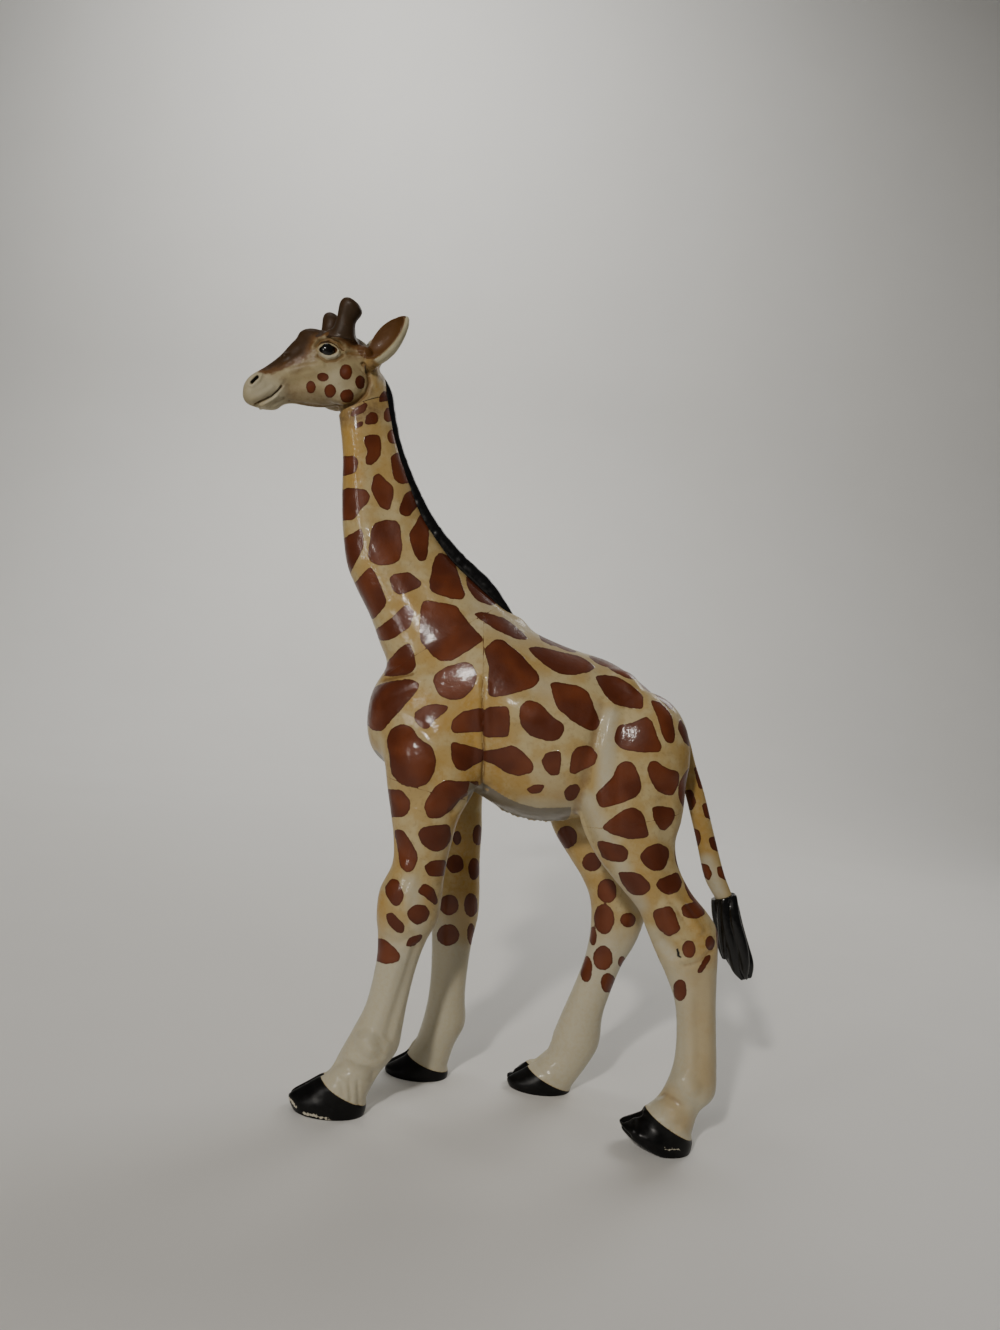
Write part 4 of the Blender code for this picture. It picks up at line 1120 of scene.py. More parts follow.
def paint_body(body):
    """Work out where each paint lies on the body, and store it on the surface."""
    places, normals = places_of(body), normals_of(body)
    x, y, z = places.T
    left = y < 0
    near = folded(places)
    on_left_leg = np.where(left[:, None], near, leg_twin(near, 1))
    wander = np.where(left, 0, smooth_step(near[:, 1], *RIGHT_SIDE))
    on_left_leg[:, 0] += wander * RIGHT_WANDER_X * np.sin(z * 0.11 + 1)
    on_left_leg[:, 2] += wander * RIGHT_WANDER_Z * np.sin(x * 0.13)
    outer_spots = in_photo(on_left_leg)
    far = mirrored(near)
    far[:, 0] -= np.where(left, leg_twin(far, 1)[:, 0] - far[:, 0], 0)
    inner_spots = in_photo(far)

    outward = np.where(left, -normals[:, 1], normals[:, 1])
    inner = smooth_step(z, *INNER_LEG_TOP) * (np.abs(y) > INNER_LEG_FROM_MIDDLE)
    inner = inner * smooth_step(outward, *INNER_LEG_SIDE)

    def outer_or_inner(outer_value, inner_value):
        return outer_value * (1 - inner) + inner_value * inner

    shifted = on_left_leg.copy()
    upper = np.where(left, 0, smooth_step(z, *RIGHT_SHIFT_BOTTOM))
    shifted[:, 0] += RIGHT_SHIFT_X * upper
    shifted[:, 2] += RIGHT_SHIFT_Z * upper
    outer_depth = patch_depth(in_photo(shifted), ("neck", "body", "haunch", "fore leg"))
    seen = facing(on_left_leg, np.where(left[:, None], normals, mirrored(normals)))
    outer_depth -= UNSEEN_DEPTH * smooth_step(seen, *UNSEEN)
    outer_depth = np.maximum(outer_depth, blob_depth(on_left_leg, REAR_PATCHES))
    back_line = np.abs(y) - BACK_LINE_HALF_WIDTH - BACK_LINE_WAVER * np.sin(x * 0.9 + z * 0.7)
    outer_depth = np.where(z > BACK_BOTTOM, np.minimum(outer_depth, back_line), outer_depth)
    inner_depth = patch_depth(inner_spots, ("inner hind leg", "inner fore leg"))
    depth = outer_or_inner(outer_depth, inner_depth)

    line_v = np.interp(outer_spots[:, 0], [u for u, _ in BELLY_LINE], [v for _, v in BELLY_LINE])
    trunk = (x > np.where(left, *BARE_FRONT)) & (x < np.where(left, *BARE_REAR)) & (outward > BARE_SIDE)
    trunk = trunk & (z > BARE_HEIGHTS[0]) & (z < BARE_HEIGHTS[1])
    under = np.where(trunk, (outer_spots[:, 1] - line_v) * MILLIMETRES_PER_PIXEL, NO_PATCH)
    # The chest's underside takes the bare grey, darkened as painted shade
    chest = smooth_step(-normals[:, 2], *CHEST_UNDER) * (z > BELLY_LOWEST) * (np.abs(y) < CHEST_HALF_WIDTH)
    chest = chest * smooth_step(x, *CHEST_REAR)
    depth = np.minimum(depth, -under) + chest * NO_PATCH
    # The beads keep the cream, partly paint and partly painted highlight
    bead_paint_and_highlight = smooth_step(np.abs(y - MOULD_LINE_Y), *FLASH_HALF_WIDTH) * (x > FLASH_FRONT) * (z < BELLY_HIGHEST)
    bead_paint_and_highlight = bead_paint_and_highlight * smooth_step(mould_beads(x), *FLASH_BEADS)
    bare = np.clip(np.maximum(under, chest * 2 - 1), NO_PATCH, -NO_PATCH) - FLASH_DEPTH * bead_paint_and_highlight

    ochre = outer_or_inner(wash(outer_spots, OCHRE_WASHES), wash(inner_spots, OCHRE_WASHES))
    # White: paint, with painted highlight along the thigh's ridge
    white = outer_or_inner(wash(outer_spots, WHITE_WASHES), wash(inner_spots, WHITE_WASHES))
    top = smooth_step(normals[:, 2], *TOP_WHITE_SLOPE) * (z > TOP_WHITE_BOTTOM)
    white = white * (1 - TOP_WHITE_LOSS * top)
    low_legs = smooth_step(z, *LOW_LEG_TOP)
    white = np.maximum(white, low_legs * LOW_LEG_WHITE) * (1 - LOW_LEG_OCHRE * ochre * low_legs)
    # The body's tan is painted shade on the neck under the jaw
    keep_paints(body, patch=depth, bare=bare, ochre=ochre, white=white, tan=wash(outer_spots, TAN_PAINT_AND_SHADE_WASHES),
                chip=wash(outer_spots, PAINT_CHIPS) * left, dark=wash(outer_spots, BODY_DARK_MARKS) * left,
                recess=recess(body))


def sculpt_body():
    """The trunk and limbs, first with soft hollows between the muscles, then with the limbs' full size."""
    trunk = loft("trunk", TRUNK, sides=56, low=TRUNK_LOW)
    soft = join("soft", [trunk] + limbs(NECK) + swellings(BODY_SWELLINGS, BODY_RIDGES))
    fuse(soft, BODY_VOXEL * SOFT_VOXELS, SOFT_HOLLOWS)
    body = fuse(join("body", [soft] + limbs([NECK_START] + NECK[3:])), BODY_VOXEL, SOFT_SKIN)
    z = places_of(body)[:, 2]
    soften(body, smooth_step(z, *SOFT_TRUNK_BOTTOM) * smooth_step(z, *SOFT_TRUNK_TOP), SOFT_TRUNK)
    detail_body(body)
    paint_body(body)
    return combine(body, block(around(0), around(0), (-REACH, SOLE_LEVEL)), "DIFFERENCE")


# The head: pairs as above, and the ear's measures in its own frame. First the brown of the crown
CROWN_SLOPE = (0.3, 0.7)
CROWN_BOTTOM = (156.5, 158.5)
CROWN_FRONT = -56.5
CROWN_DEPTH = 5.5
# What counts as an ear, and where its cup and its back begin
EAR_HEIGHTS = (0.8, 15)
EAR_HALF_WIDTH = 6
EAR_HALF_THICKNESS = 4
EAR_FROM_MIDDLE = 2
EAR_CUP_EDGE = (1.13, 1.03)
EAR_BACK_BOTTOM = (1.6, 4)
# The head's creases take twice the brown, which is partly painted shade
HEAD_RECESS = 2


def ear_place(side):
    foot, tip = Vector(EAR_FOOT), Vector(EAR_TIP)
    up = (tip - foot).normalized()
    back = -Vector(EAR_OPENING)
    back = (back - up * back.dot(up)).normalized()
    turn = Matrix((back, up.cross(back), up)).transposed().to_4x4()
    return Matrix.Diagonal((1, side, 1, 1)) @ Matrix.Translation(foot) @ turn


def ear_form(side, grow=0.0):
    ear = loft("ear", EAR, steps=5, sides=36, grow=grow)
    if grow == 0:
        combine(ear, swelling("hollow", *EAR_HOLLOW), "DIFFERENCE")
    ear.data.transform(ear_place(side))
    if side < 0:
        ear.data.flip_normals()
    return ear


def ossicone_form(side, grow=0.0):
    skew = -side * OSSICONE_SKEW
    rows = [(row[0] + skew, row[1], row[2] + skew, row[3], side * row[4], row[5]) for row in OSSICONE]
    return loft("ossicone", rows, sides=32, grow=grow)


def detail_head(head):
    places, normals = places_of(head), normals_of(head)
    for side in (-1, 1):
        near, near_normals = as_near(side, places, normals)
        near, near_normals = turned(near), turned(near_normals, pivot=False)
        seen = smooth_step(facing(near, near_normals), *HEAD_SEEN) * (places[:, 1] * side > HEAD_LINES_FROM)
        press_lines(places, normals, in_photo(near), seen, HEAD_LINES)
    move_to(head, places)


def ear_shade(places):
    """1 in the cups of the ears, down to -1 on their backs, and 0 on the rest of the head."""
    shade = np.zeros(len(places))
    middle, half = np.array(EAR_HOLLOW[:3]), np.array(EAR_HOLLOW[3:6])
    for side in (-1, 1):
        own = np.array(ear_place(side).inverted())
        local = places @ own[:3, :3].T + own[:3, 3]
        x, y, z = local.T
        on_ear = (z > EAR_HEIGHTS[0]) & (z < EAR_HEIGHTS[1]) & (np.abs(x) < EAR_HALF_THICKNESS)
        on_ear = on_ear & (np.abs(y) < EAR_HALF_WIDTH) & (places[:, 1] * side > EAR_FROM_MIDDLE)
        cup = smooth_step(np.linalg.norm((local - middle) / half, axis=1), *EAR_CUP_EDGE)
        shade = np.where(on_ear, np.where(cup > 0.02, cup, -smooth_step(z, *EAR_BACK_BOTTOM)), shade)
    return shade


def paint_head(head):
    places, normals = places_of(head), normals_of(head)
    spots = in_photo(turned(folded(places)))
    crown = smooth_step(normals[:, 2], *CROWN_SLOPE) * smooth_step(places[:, 2], *CROWN_BOTTOM)
    crown = NO_PATCH + CROWN_DEPTH * crown * (places[:, 0] > CROWN_FRONT)
    face = inside_by(spots, rounded(FACE_BROWN)) * MILLIMETRES_PER_PIXEL
    # The head's tan is paint round the eye and painted shade under the jaw
    keep_paints(head, patch=patch_depth(spots, ("cheek", "neck")), face=np.maximum(face, crown),
                ochre=wash(spots, OCHRE_WASHES), white=wash(spots, WHITE_WASHES), tan=wash(spots, TAN_PAINT_AND_SHADE_WASHES),
                dark=wash(spots, DARK_MARKS), hollow=ear_shade(places), recess=recess(head) * HEAD_RECESS)


def sculpt_head():
    """The skull with soft hollows, then the lids, ossicones and ears grown from it."""
    forms = [loft("skull", HEAD, sides=56), loft("neck_stub", NECK_STUB, steps=4)]
    forms += swellings(HEAD_SWELLINGS, HEAD_RIDGES)
    soft = fuse(join("soft", forms), HEAD_VOXEL * SOFT_VOXELS, SOFT_SKULL)
    forms = [soft, loft("neck_stub", NECK_STUB, steps=4)] + swellings([LIDS])
    forms += [ossicone_form(side) for side in (-1, 1)]
    head = fuse(join("head", forms), HEAD_VOXEL, SOFT_FACE)
    head = fuse(join("head", [head] + [ear_form(side) for side in (-1, 1)]), EAR_VOXEL, SOFT_EARS)
    detail_head(head)
    paint_head(head)
    x, y, z, *rest = EYE_OPENING
    for side in (-1, 1):
        combine(head, swelling("opening", x, side * y, z, *rest), "DIFFERENCE")
    return head


# Pieces
EAR_AND_OSSICONE_CUT = 0.5
HAIR_VOXEL = 0.2
TAIL_VOXEL = 0.22
SOFT_MANE = 0.3
SOFT_TAIL = 0.6
SOFT_TUFT = 0.35
MANE_COMB_DEPTH = 0.012
MANE_WAVE_DEPTH = 0.06
STRAND_DEPTH = 0.75
STRAND_START = (-1, 1.5)


def leg_space(side, x_range, top, gap):
    """The space that a leg takes, under its parting plane and beside the middle."""
    y_range = (LEG_INNER_Y - gap, REACH) if side > 0 else (-REACH, -LEG_INNER_Y + gap)
    space = block((x_range[0] - gap, x_range[1] + gap), y_range, around(0))
    return combine(space, below(top, -gap), "INTERSECT")


def part_legs(body):
    """Part the four legs from the body, and each hoof from its leg."""
    ends = (("fore", (-REACH, FORE_AND_HIND_SPLIT_X), FORELEG_TOP),
            ("hind", (HIND_FRONT_X, REACH), HIND_LEG_TOP))
    plans = {word + "_" + end: (side, x_range, top) for end, x_range, top in ends for word, side in SIDES}
    legs = {}
    for name, (side, x_range, top) in plans.items():
        limb = portion(body, name, leg_space(side, x_range, top, -HAIRLINE / 2))
        legs[name + "leg"] = portion(limb, name + "leg", above(HOOF_TOPS[name]))
        legs[name + "_hoof"] = portion(limb, name + "_hoof", below(HOOF_TOPS[name]))
        bpy.data.objects.remove(limb)
    for side, x_range, top in plans.values():
        combine(body, leg_space(side, x_range, top, HAIRLINE / 2), "DIFFERENCE")
    return legs


def part_body(body):
    """Part the neck, the front body and the rear body."""
    (x, z), lean = SHOULDER_SEAM
    front = block((x - REACH, x - HAIRLINE / 2), around(0), around(z), (x, z), lean)
    rear = block((x + HAIRLINE / 2, x + REACH), around(0), around(z), (x, z), lean)
    return {
        "neck": portion(body, "neck", below(NECK_TOP), above(NECK_FOOT)),
        "front_body": portion(body, "front_body", below(NECK_FOOT), front),
        "rear_body": portion(body, "rear_body", below(NECK_FOOT), rear),
    }


def part_head(head):
    """Part the ears and ossicones at rings round their feet."""
    pieces = {}
    for kind, maker in (("ossicone", ossicone_form), ("ear", ear_form)):
        for word, side in SIDES:
            name = word + "_" + kind
            pieces[name] = turn_head(portion(head, name, maker(side, EAR_AND_OSSICONE_CUT)))
            combine(head, maker(side, EAR_AND_OSSICONE_CUT + HAIRLINE), "DIFFERENCE")
    pieces["head"] = combine(turn_head(head), above(NECK_TOP), "INTERSECT")
    return pieces


def make_eye(name, side):
    x, y, z = EYE
    return turn_head(swelling(name, x, side * y, z, EYE_RADIUS, EYE_RADIUS, EYE_RADIUS, 0, segments=48))


def middle_line(sections):
    rows = between(sections, 4)
    return np.stack([(rows[:, 0] + rows[:, 2]) / 2, rows[:, 4], (rows[:, 1] + rows[:, 3]) / 2], axis=1)


def make_mane():
    """A raised strip of short hair, combed flat, with an uneven edge."""
    mane = fuse(join("mane", [loft("mane", MANE, sides=24)]), HAIR_VOXEL, SOFT_MANE)
    places, normals = places_of(mane), normals_of(mane)
    run, offset = run_along(places, middle_line(MANE))
    height = (offset[:, 0] + offset[:, 2]) * 0.7
    # Uneven waves, in radians, chosen by their look alone
    comb = run * 2.6 + height * 1.2 + np.sin(run * 0.7) * 2
    wave = MANE_WAVE_DEPTH * np.sin(run * 0.8) * np.sin(comb * 0.37 + 1)
    places += normals * (MANE_COMB_DEPTH * np.sin(comb) + wave)[:, None]
    move_to(mane, places)
    return mane


def make_tail():
    tail = fuse(join("tail", [loft("tail", TAIL, sides=28)]), TAIL_VOXEL, SOFT_TAIL)
    spots = in_photo(folded(places_of(tail)))
    keep_paints(tail, patch=patch_depth(spots, ("tail",)), ochre=wash(spots, OCHRE_WASHES),
                white=wash(spots, WHITE_WASHES))
    return combine(tail, above(TUFT_TOP), "INTERSECT")


def make_tuft():
    """Three locks of hair, each with strands that run its length."""
    locks = [loft("lock", sections, steps=8, sides=36) for sections in TUFT_LOCKS]
    tuft = fuse(join("tail_tuft", locks), HAIR_VOXEL, SOFT_TUFT)
    places, normals = places_of(tuft), normals_of(tuft)
    run, offset = run_along(places, middle_line(TUFT_LOCKS[0]))
    turn = np.arctan2(offset[:, 1], offset[:, 0] - 0.4 * offset[:, 2])
    strands = np.abs(np.sin(turn * 2.6 + run * 0.12 + 0.4 * np.sin(run * 0.4)))
    thick = smooth_step(run, *STRAND_START)
    places += normals * ((strands - 0.6) * STRAND_DEPTH * thick)[:, None]
    move_to(tuft, places)
    return combine(tuft, below(TUFT_TOP), "INTERSECT")


# Paints
class Paint:
    """A material being mixed: each method adds a node and gives its output."""

    def __init__(self, name):
        self.material = bpy.data.materials.new(name)
        self.material.use_nodes = True
        self.tree = self.material.node_tree
        self.shader = self.tree.nodes["Principled BSDF"]
        self.places = self.add("TexCoord", "Object")

    def link(self, source, socket):
        """Feed a socket from a node's output, or set it to a number or a colour."""
        if isinstance(source, bpy.types.NodeSocket):
            self.tree.links.new(source, socket)
        else:
            socket.default_value = (*source, 1) if isinstance(source, tuple) else source

    def set(self, **values):
        """Set the shader's sockets, named with underscores for spaces."""
        for name, value in values.items():
            self.link(value, self.shader.inputs[name.replace("_", " ")])

    def add(self, kind, output, inputs=(), **settings):
        """Add a node, set it up, feed its inputs and give its output."""
        made = self.tree.nodes.new("ShaderNode" + kind)
        for name, value in settings.items():
            setattr(made, name, value)
        for name, source in dict(inputs).items():
            self.link(source, made.inputs[name])
        return made.outputs[output]

    def value(self, name):
        return self.add("Attribute", "Fac", attribute_name=name)

    def noise(self, grain, detail=3, roughness=0.5):
        """Noise whose grains are that many millimetres across."""
        return self.add("TexNoise", "Fac", {"Vector": self.places, "Scale": 1000 / grain, "Detail": detail,
                                            "Roughness": roughness})

    def sum(self, first, second, operation="ADD"):
        return self.add("Math", 0, {0: first, 1: second}, operation=operation)

    def times(self, first, second):
        return self.sum(first, second, "MULTIPLY")

    def ragged(self, value, noise, amount):
        """The value, moved up and down by noise over that amount."""
        return self.sum(value, self.times(self.sum(noise, -0.5), amount))

    def ramp(self, source, low, high, start=0.0, end=1.0):
        """The source's range from low to high, spread smoothly from start to end."""
        ranges = {"Value": source, "From Min": low, "From Max": high, "To Min": start, "To Max": end}
        return self.add("MapRange", "Result", ranges, interpolation_type="SMOOTHSTEP")

    def mix(self, under, over, share):
        return self.add("Mix", "Result", {"Factor": share, "A": under, "B": over}, data_type="RGBA")

    def bump(self, height, millimetres, strength):
        distance = millimetres / 1000
        normal = self.add("Bump", "Normal", {"Strength": strength, "Distance": distance, "Height": height})
        self.set(Normal=normal, Coat_Normal=normal)


CREAM = (0.41, 0.29, 0.115)
PALE_CREAM = (0.47, 0.375, 0.195)
HEAD_CREAM = (0.33, 0.265, 0.14)
PALE_HEAD_CREAM = (0.40, 0.34, 0.205)
DULL_CREAM = (0.26, 0.18, 0.075)
OCHRE = (0.40, 0.235, 0.05)
WHITE = (0.49, 0.45, 0.33)
# Grey of the bare vinyl, darkened as painted shade of the underside
BARE_VINYL_AND_PAINTED_SHADE = (0.19, 0.165, 0.12)
PATCH_BROWN = (0.090, 0.019, 0.005)
PATCH_RED = (0.15, 0.036, 0.010)
PATCH_DARK = (0.055, 0.012, 0.004)
FACE_DARK = (0.047, 0.022, 0.007)
FACE_LIGHT = (0.135, 0.063, 0.020)
TAN_AND_PAINTED_SHADE = (0.17, 0.105, 0.045)
EAR_BROWN = (0.11, 0.048, 0.014)
EAR_BACK = (0.46, 0.42, 0.28)
HORN_BROWN = (0.041, 0.023, 0.010)
HORN_WORN = (0.085, 0.05, 0.026)
# Brown in the creases: partly the toy's brown wash, partly painted shade
CREASE_WASH_AND_SHADE_BROWN = (0.16, 0.085, 0.025)
BLACK = (0.0028, 0.0026, 0.0026)
WORN_BLACK = (0.016, 0.0155, 0.017)
CHIP = (0.50, 0.46, 0.36)
EYE_BLACK = (0.002, 0.002, 0.002)
EYE_BROWN = (0.006, 0.004, 0.003)
# Grains of the hide's noises, in millimetres
BLOTCH_GRAIN = 5
BRUSH_GRAIN = 0.9
FINE_GRAIN = 0.22
EDGE_GRAIN = 1.6
TONE_GRAIN = 9
FACE_EDGE_GRAIN = 1.2
SHEEN_GRAIN = 1.8
DENT_GRAIN = 2.6


def vinyl_and_washes(paint, brush, cream, pale_cream):
    """The hide's colour under its patches: cream, brushed ochre, white, tan that is painted shade under the
    jaw, brown in the creases that is partly painted shade, and bare vinyl darkened as painted shade.
    """
    broken = paint.ramp(brush, 0.3, 0.7, 0.7, 1.25)
    thin = paint.ramp(brush, 0.3, 0.7, 0.9, 1.15)
    # Brown in the creases, by their depth: partly brown wash, partly painted shade, and less of it on white
    crease_wash_and_shade = paint.ramp(paint.ragged(paint.value("recess"), brush, 0.04), 0.015, 0.1)
    crease_wash_and_shade = paint.times(crease_wash_and_shade, paint.ramp(paint.value("white"), 0.3, 0.9, 0.7, 0.08))
    bare = paint.ramp(paint.ragged(paint.value("bare"), brush, 0.5), -0.1, 0.1)
    colour = cream
    for over, share in (
        (pale_cream, paint.ramp(paint.noise(BLOTCH_GRAIN, detail=4), 0.42, 0.62)),
        (DULL_CREAM, paint.times(paint.ramp(brush, 0.5, 0.72), 0.4)),
        (OCHRE, paint.times(paint.value("ochre"), paint.times(broken, 0.9))),
        (WHITE, paint.times(paint.value("white"), paint.times(thin, 0.95))),
        # Tan: paint round the eye, and painted shade under the jaw and on the neck below it
        (TAN_AND_PAINTED_SHADE, paint.times(paint.value("tan"), broken)),
        (CREASE_WASH_AND_SHADE_BROWN, crease_wash_and_shade),
        # Bare vinyl of the belly and chest, its grey darkened as painted shade
        (BARE_VINYL_AND_PAINTED_SHADE, paint.times(bare, 0.95)),
    ):
        colour = paint.mix(colour, over, share)
    return colour


def hide(name, cream=CREAM, pale_cream=PALE_CREAM, coat=0.42):
    """Cream vinyl with ochre and white brushed over it and brown patches printed on top, with painted shade
    in its creases, under the jaw and on the bare underside.
    """
    paint = Paint(name)
    brush = paint.noise(BRUSH_GRAIN, detail=4, roughness=0.6)
    colour = vinyl_and_washes(paint, brush, cream, pale_cream)

    inside = paint.sum(paint.value("patch"), 0.1)
    inside = paint.ragged(inside, paint.noise(EDGE_GRAIN, detail=3, roughness=0.6), 0.5)
    tone = paint.mix(PATCH_BROWN, PATCH_RED, paint.ramp(paint.noise(TONE_GRAIN, detail=2), 0.4, 0.7))
    tone = paint.mix(PATCH_DARK, tone, paint.ramp(inside, 0.05, 0.5, 0.5, 1))
    printed = paint.ramp(inside, -0.05, 0.05)
    edge = paint.ragged(paint.value("face"), paint.noise(FACE_EDGE_GRAIN, detail=4), 1.4)
    mask = paint.mix(FACE_LIGHT, FACE_DARK, paint.ramp(edge, 0.1, 1.6))
    for over, share in (
        (tone, printed),
        (mask, paint.ramp(edge, -0.45, 0.3)),
        (EAR_BROWN, paint.ramp(paint.value("hollow"), 0.3, 0.8)),
        (EAR_BACK, paint.ramp(paint.value("hollow"), -0.3, -0.8)),
        (BLACK, paint.ramp(paint.value("dark"), 0.15, 0.7)),
    ):
        colour = paint.mix(colour, over, share)

    rough = paint.ramp(paint.noise(SHEEN_GRAIN, detail=3), 0.3, 0.7, 0.42, 0.56)
    rough = paint.sum(rough, paint.times(printed, -0.05))
    paint.set(Base_Color=colour, Roughness=rough, Specular_IOR_Level=0.2, Coat_Weight=coat,
              Coat_Roughness=0.085)
    grain = paint.times(paint.noise(FINE_GRAIN, detail=2), 0.25)
    for height, share in ((brush, 0.5), (paint.noise(DENT_GRAIN, detail=2), 1.6), (printed, 0.5)):
        grain = paint.sum(grain, paint.times(height, share))
    paint.bump(grain, 0.1, 0.7)
    return paint.material


def horn(name):
    """Dark brown paint, worn lighter in places."""
    paint = Paint(name)
    brush = paint.noise(0.8, detail=4, roughness=0.65)
    colour = paint.mix(HORN_BROWN, FACE_DARK, paint.ramp(paint.noise(3), 0.4, 0.6))
    colour = paint.mix(colour, HORN_WORN, paint.times(paint.ramp(brush, 0.55, 0.75), 0.7))
    paint.set(Base_Color=colour, Roughness=paint.ramp(brush, 0.3, 0.7, 0.42, 0.55), Specular_IOR_Level=0.25,
              Coat_Weight=0.1, Coat_Roughness=0.25)
    paint.bump(brush, 0.08, 0.6)
    return paint.material


def gloss_black(name, grain, roughness, specular, worn=0.0, chips=False):
    """Black enamel, rubbed grey as far as it is worn, and chipped where the surface says so."""
    paint = Paint(name)
    brush = paint.noise(grain, detail=4, roughness=0.6)
    colour = paint.mix(BLACK, WORN_BLACK, paint.times(paint.ramp(brush, 0.45, 0.8), worn))
    if chips:
        ragged = paint.ragged(paint.value("chip"), paint.noise(0.5, detail=4), 2.2)
        colour = paint.mix(colour, CHIP, paint.ramp(ragged, 0.62, 0.7))
    rough = paint.ramp(brush, 0.3, 0.7, roughness, roughness + 0.12)
    paint.set(Base_Color=colour, Roughness=rough, Specular_IOR_Level=specular)
    paint.bump(brush, 0.05, 0.4)
    return paint.material


def eye_gloss(name):
    paint = Paint(name)
    paint.set(Base_Color=paint.mix(EYE_BLACK, EYE_BROWN, paint.noise(0.7)), Roughness=0.2,
              Specular_IOR_Level=0.3, Coat_Weight=0.5, Coat_Roughness=0.03)
    return paint.material


# The slot of each piece, by the end of its name; the others are painted hide
SLOT_ENDINGS = {"leg": "painted_legs", "ear": "painted_ears", "ossicone": "brown_horns", "eye": "eye_gloss",
                "hoof": "black_hooves", "mane": "black_hair", "tail_tuft": "black_hair"}


def slot_of(name):
    for ending, slot in SLOT_ENDINGS.items():
        if name.endswith(ending):
            return slot
    return "painted_hide"


# Stage, in metres
SENSOR_MILLIMETRES = 36
NEAREST_SEEN = 0.01
BACKDROP_GRAIN = 60
BACKDROP_DARK = (0.76, 0.75, 0.72)
BACKDROP_LIGHT = (0.80, 0.79, 0.76)
WORLD_COLOUR = (1.0, 0.98, 0.95, 1)
WORLD_STRENGTH = 0.085
# Each lamp's name, place, aim, size, power in watts, colour and spread in degrees
LAMPS = [
    ("key", (-0.236, -0.716, 0.484), (-0.01, 0, 0.1), 0.055, 0.79, (1.0, 0.95, 0.88), 90),
    ("side light", (-0.5, -0.6, 0.2), (-0.02, 0, 0.1), 0.11, 0.14, (1.0, 0.96, 0.9), 90),
    ("back fill", (0.42, 0.46, 0.55), (0, 0, 0.1), 0.35, 0.5, (1.0, 0.98, 0.95), 100),
    ("backdrop light", (-0.25, 0.25, 0.95), (-0.1, 0.75, 0.3), 0.5, 2.5, (1.0, 0.99, 0.96), 110),
]


def show(name, data):
    item = bpy.data.objects.new(name, data)
    bpy.context.scene.collection.objects.link(item)
    return item


def photo_camera():
    """The photograph's camera: level, square to the left side, rolled with the picture."""
    data = bpy.data.cameras.new("camera")
    data.sensor_width = SENSOR_MILLIMETRES
    data.lens = data.sensor_width * FOCAL_PIXELS / PICTURE_HEIGHT
    data.clip_start = NEAREST_SEEN
    camera = show("camera", data)
    c, s = math.cos(CAMERA_ROLL), math.sin(CAMERA_ROLL)
    axes = Matrix(((c, -s, 0), (0, 0, -1), (s, c, 0))).to_4x4()
    camera.matrix_world = STAND @ Matrix.Translation((0, -CAMERA_AWAY, CAMERA_HEIGHT)) @ axes
    camera.scale = (1, 1, 1)
    bpy.context.scene.camera = camera


def backdrop():
    """A pale floor that curves up behind the figure."""
    half_width, front, back, bend, height, steps = 1.6, -1.2, 0.75, 0.35, 1.6, 12
    profile = [(front, 0.0)]
    for k in range(steps + 1):
        turn = math.radians(90 * k / steps)
        profile.append((back - bend + bend * math.sin(turn), bend - bend * math.cos(turn)))
    profile.append((back, height))
    shape = bmesh.new()
    rows = [[shape.verts.new((x, y, z)) for y, z in profile] for x in (-half_width, half_width)]
    for k in range(len(profile) - 1):
        shape.faces.new((rows[0][k], rows[1][k], rows[1][k + 1], rows[0][k + 1]))
    mesh = bpy.data.meshes.new("backdrop")
    shape.to_mesh(mesh)
    shape.free()
    mesh.shade_smooth()
    paint = Paint("backdrop")
    paint.set(Base_Color=paint.mix(BACKDROP_DARK, BACKDROP_LIGHT, paint.noise(BACKDROP_GRAIN)), Roughness=0.6)
    mesh.materials.append(paint.material)
    show("backdrop", mesh)


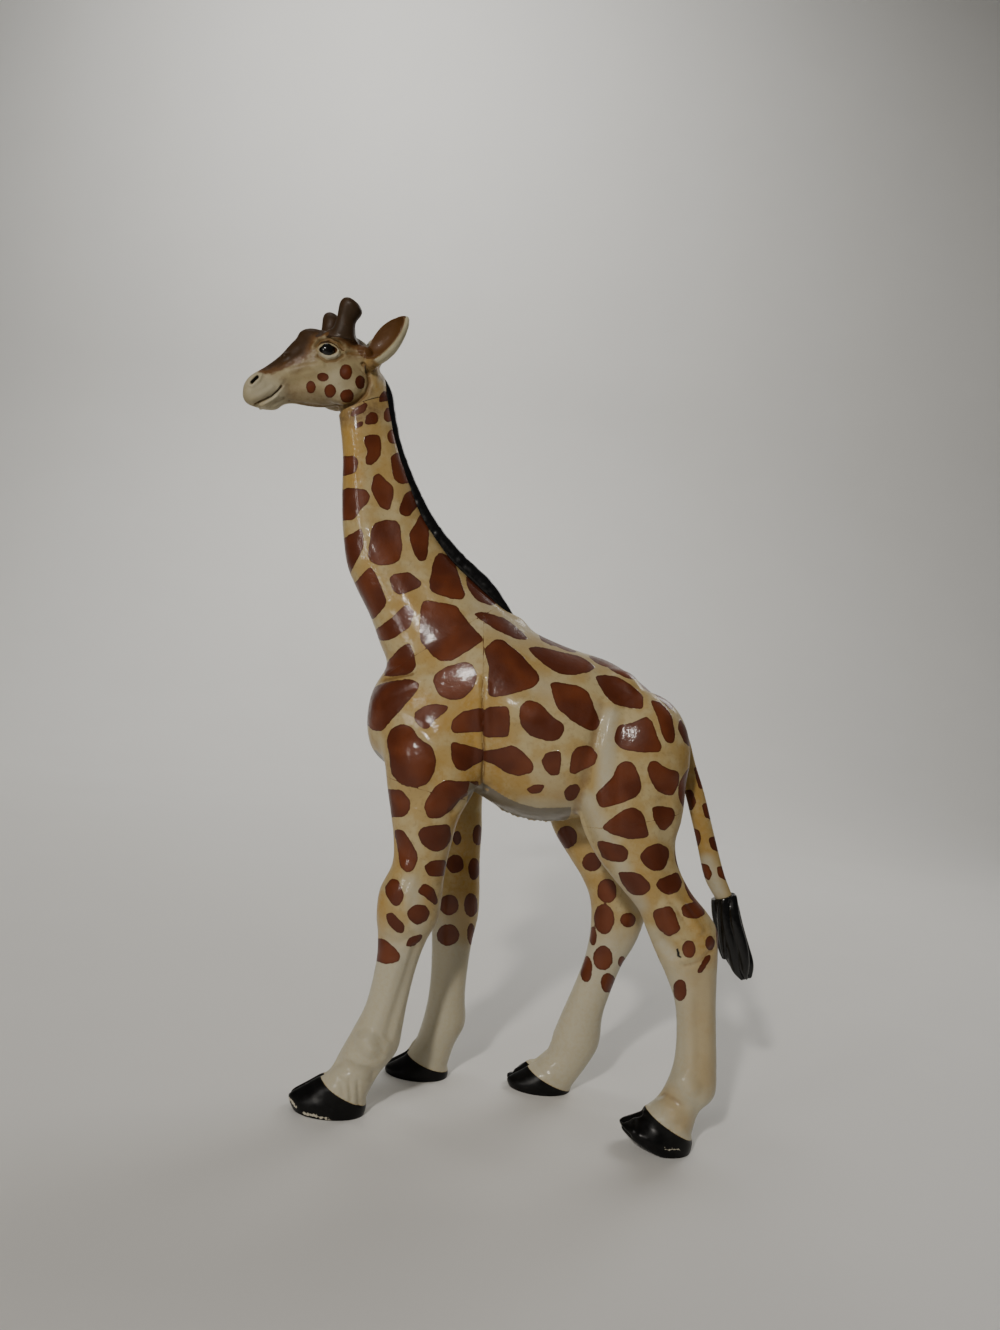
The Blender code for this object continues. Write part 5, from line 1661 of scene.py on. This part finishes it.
def lamp(name, place, aim, size, power, colour, spread):
    data = bpy.data.lights.new(name, "AREA")
    data.shape = "DISK"
    data.size = size
    data.spread = math.radians(spread)
    data.energy = power
    data.color = colour
    item = show(name, data)
    item.location = place
    item.rotation_euler = (Vector(aim) - Vector(place)).to_track_quat("-Z", "Y").to_euler()


def light_stage():
    world = bpy.data.worlds.new("studio")
    bpy.context.scene.world = world
    world.use_nodes = True
    background = world.node_tree.nodes["Background"]
    background.inputs["Color"].default_value = WORLD_COLOUR
    background.inputs["Strength"].default_value = WORLD_STRENGTH
    for row in LAMPS:
        lamp(*row)


# Making
STAND = Matrix.Scale(0.001, 4) @ Matrix.Translation((-LENGTHWISE_MIDDLE, 0, -SOLE_LEVEL))
SHARP_ANGLE = math.radians(50)


def make_pieces():
    body = sculpt_body()
    pieces = part_legs(body)
    pieces.update(part_body(body))
    bpy.data.objects.remove(body)
    pieces.update(part_head(sculpt_head()))
    for word, side in SIDES:
        pieces[word + "_eye"] = make_eye(word + "_eye", side)
    pieces["mane"] = make_mane()
    pieces["tail"] = make_tail()
    pieces["tail_tuft"] = make_tuft()
    return pieces


def finish_pieces(pieces):
    """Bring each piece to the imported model's place and metres, paint it and hand it over."""
    paints = {
        "painted_hide": hide("painted_hide"),
        "painted_legs": hide("painted_legs"),
        "painted_ears": hide("painted_ears", HEAD_CREAM, PALE_HEAD_CREAM, coat=0.04),
        "brown_horns": horn("brown_horns"),
        "eye_gloss": eye_gloss("eye_gloss"),
        "black_hair": gloss_black("black_hair", grain=0.9, roughness=0.15, specular=0.5),
        "black_hooves": gloss_black("black_hooves", grain=1.4, roughness=0.28, specular=0.2, worn=0.35,
                                    chips=True),
    }
    head_paint = hide("painted_head", HEAD_CREAM, PALE_HEAD_CREAM, coat=0.03)
    for name, piece in pieces.items():
        slot = slot_of(name)
        piece.data.transform(STAND)
        piece.data.shade_smooth()
        piece.data.set_sharp_from_angle(angle=SHARP_ANGLE)
        piece.data.materials.clear()
        piece.data.materials.append(head_paint if name == "head" else paints[slot])
        workshop.objects.unlink(piece)
        bpy.context.scene.collection.objects.link(piece)
        piece.name = "painted_" + name
        piece.data.name = piece.name
        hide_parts(name)
        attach(piece, "root")


photo_camera()
backdrop()
light_stage()
finish_pieces(make_pieces())
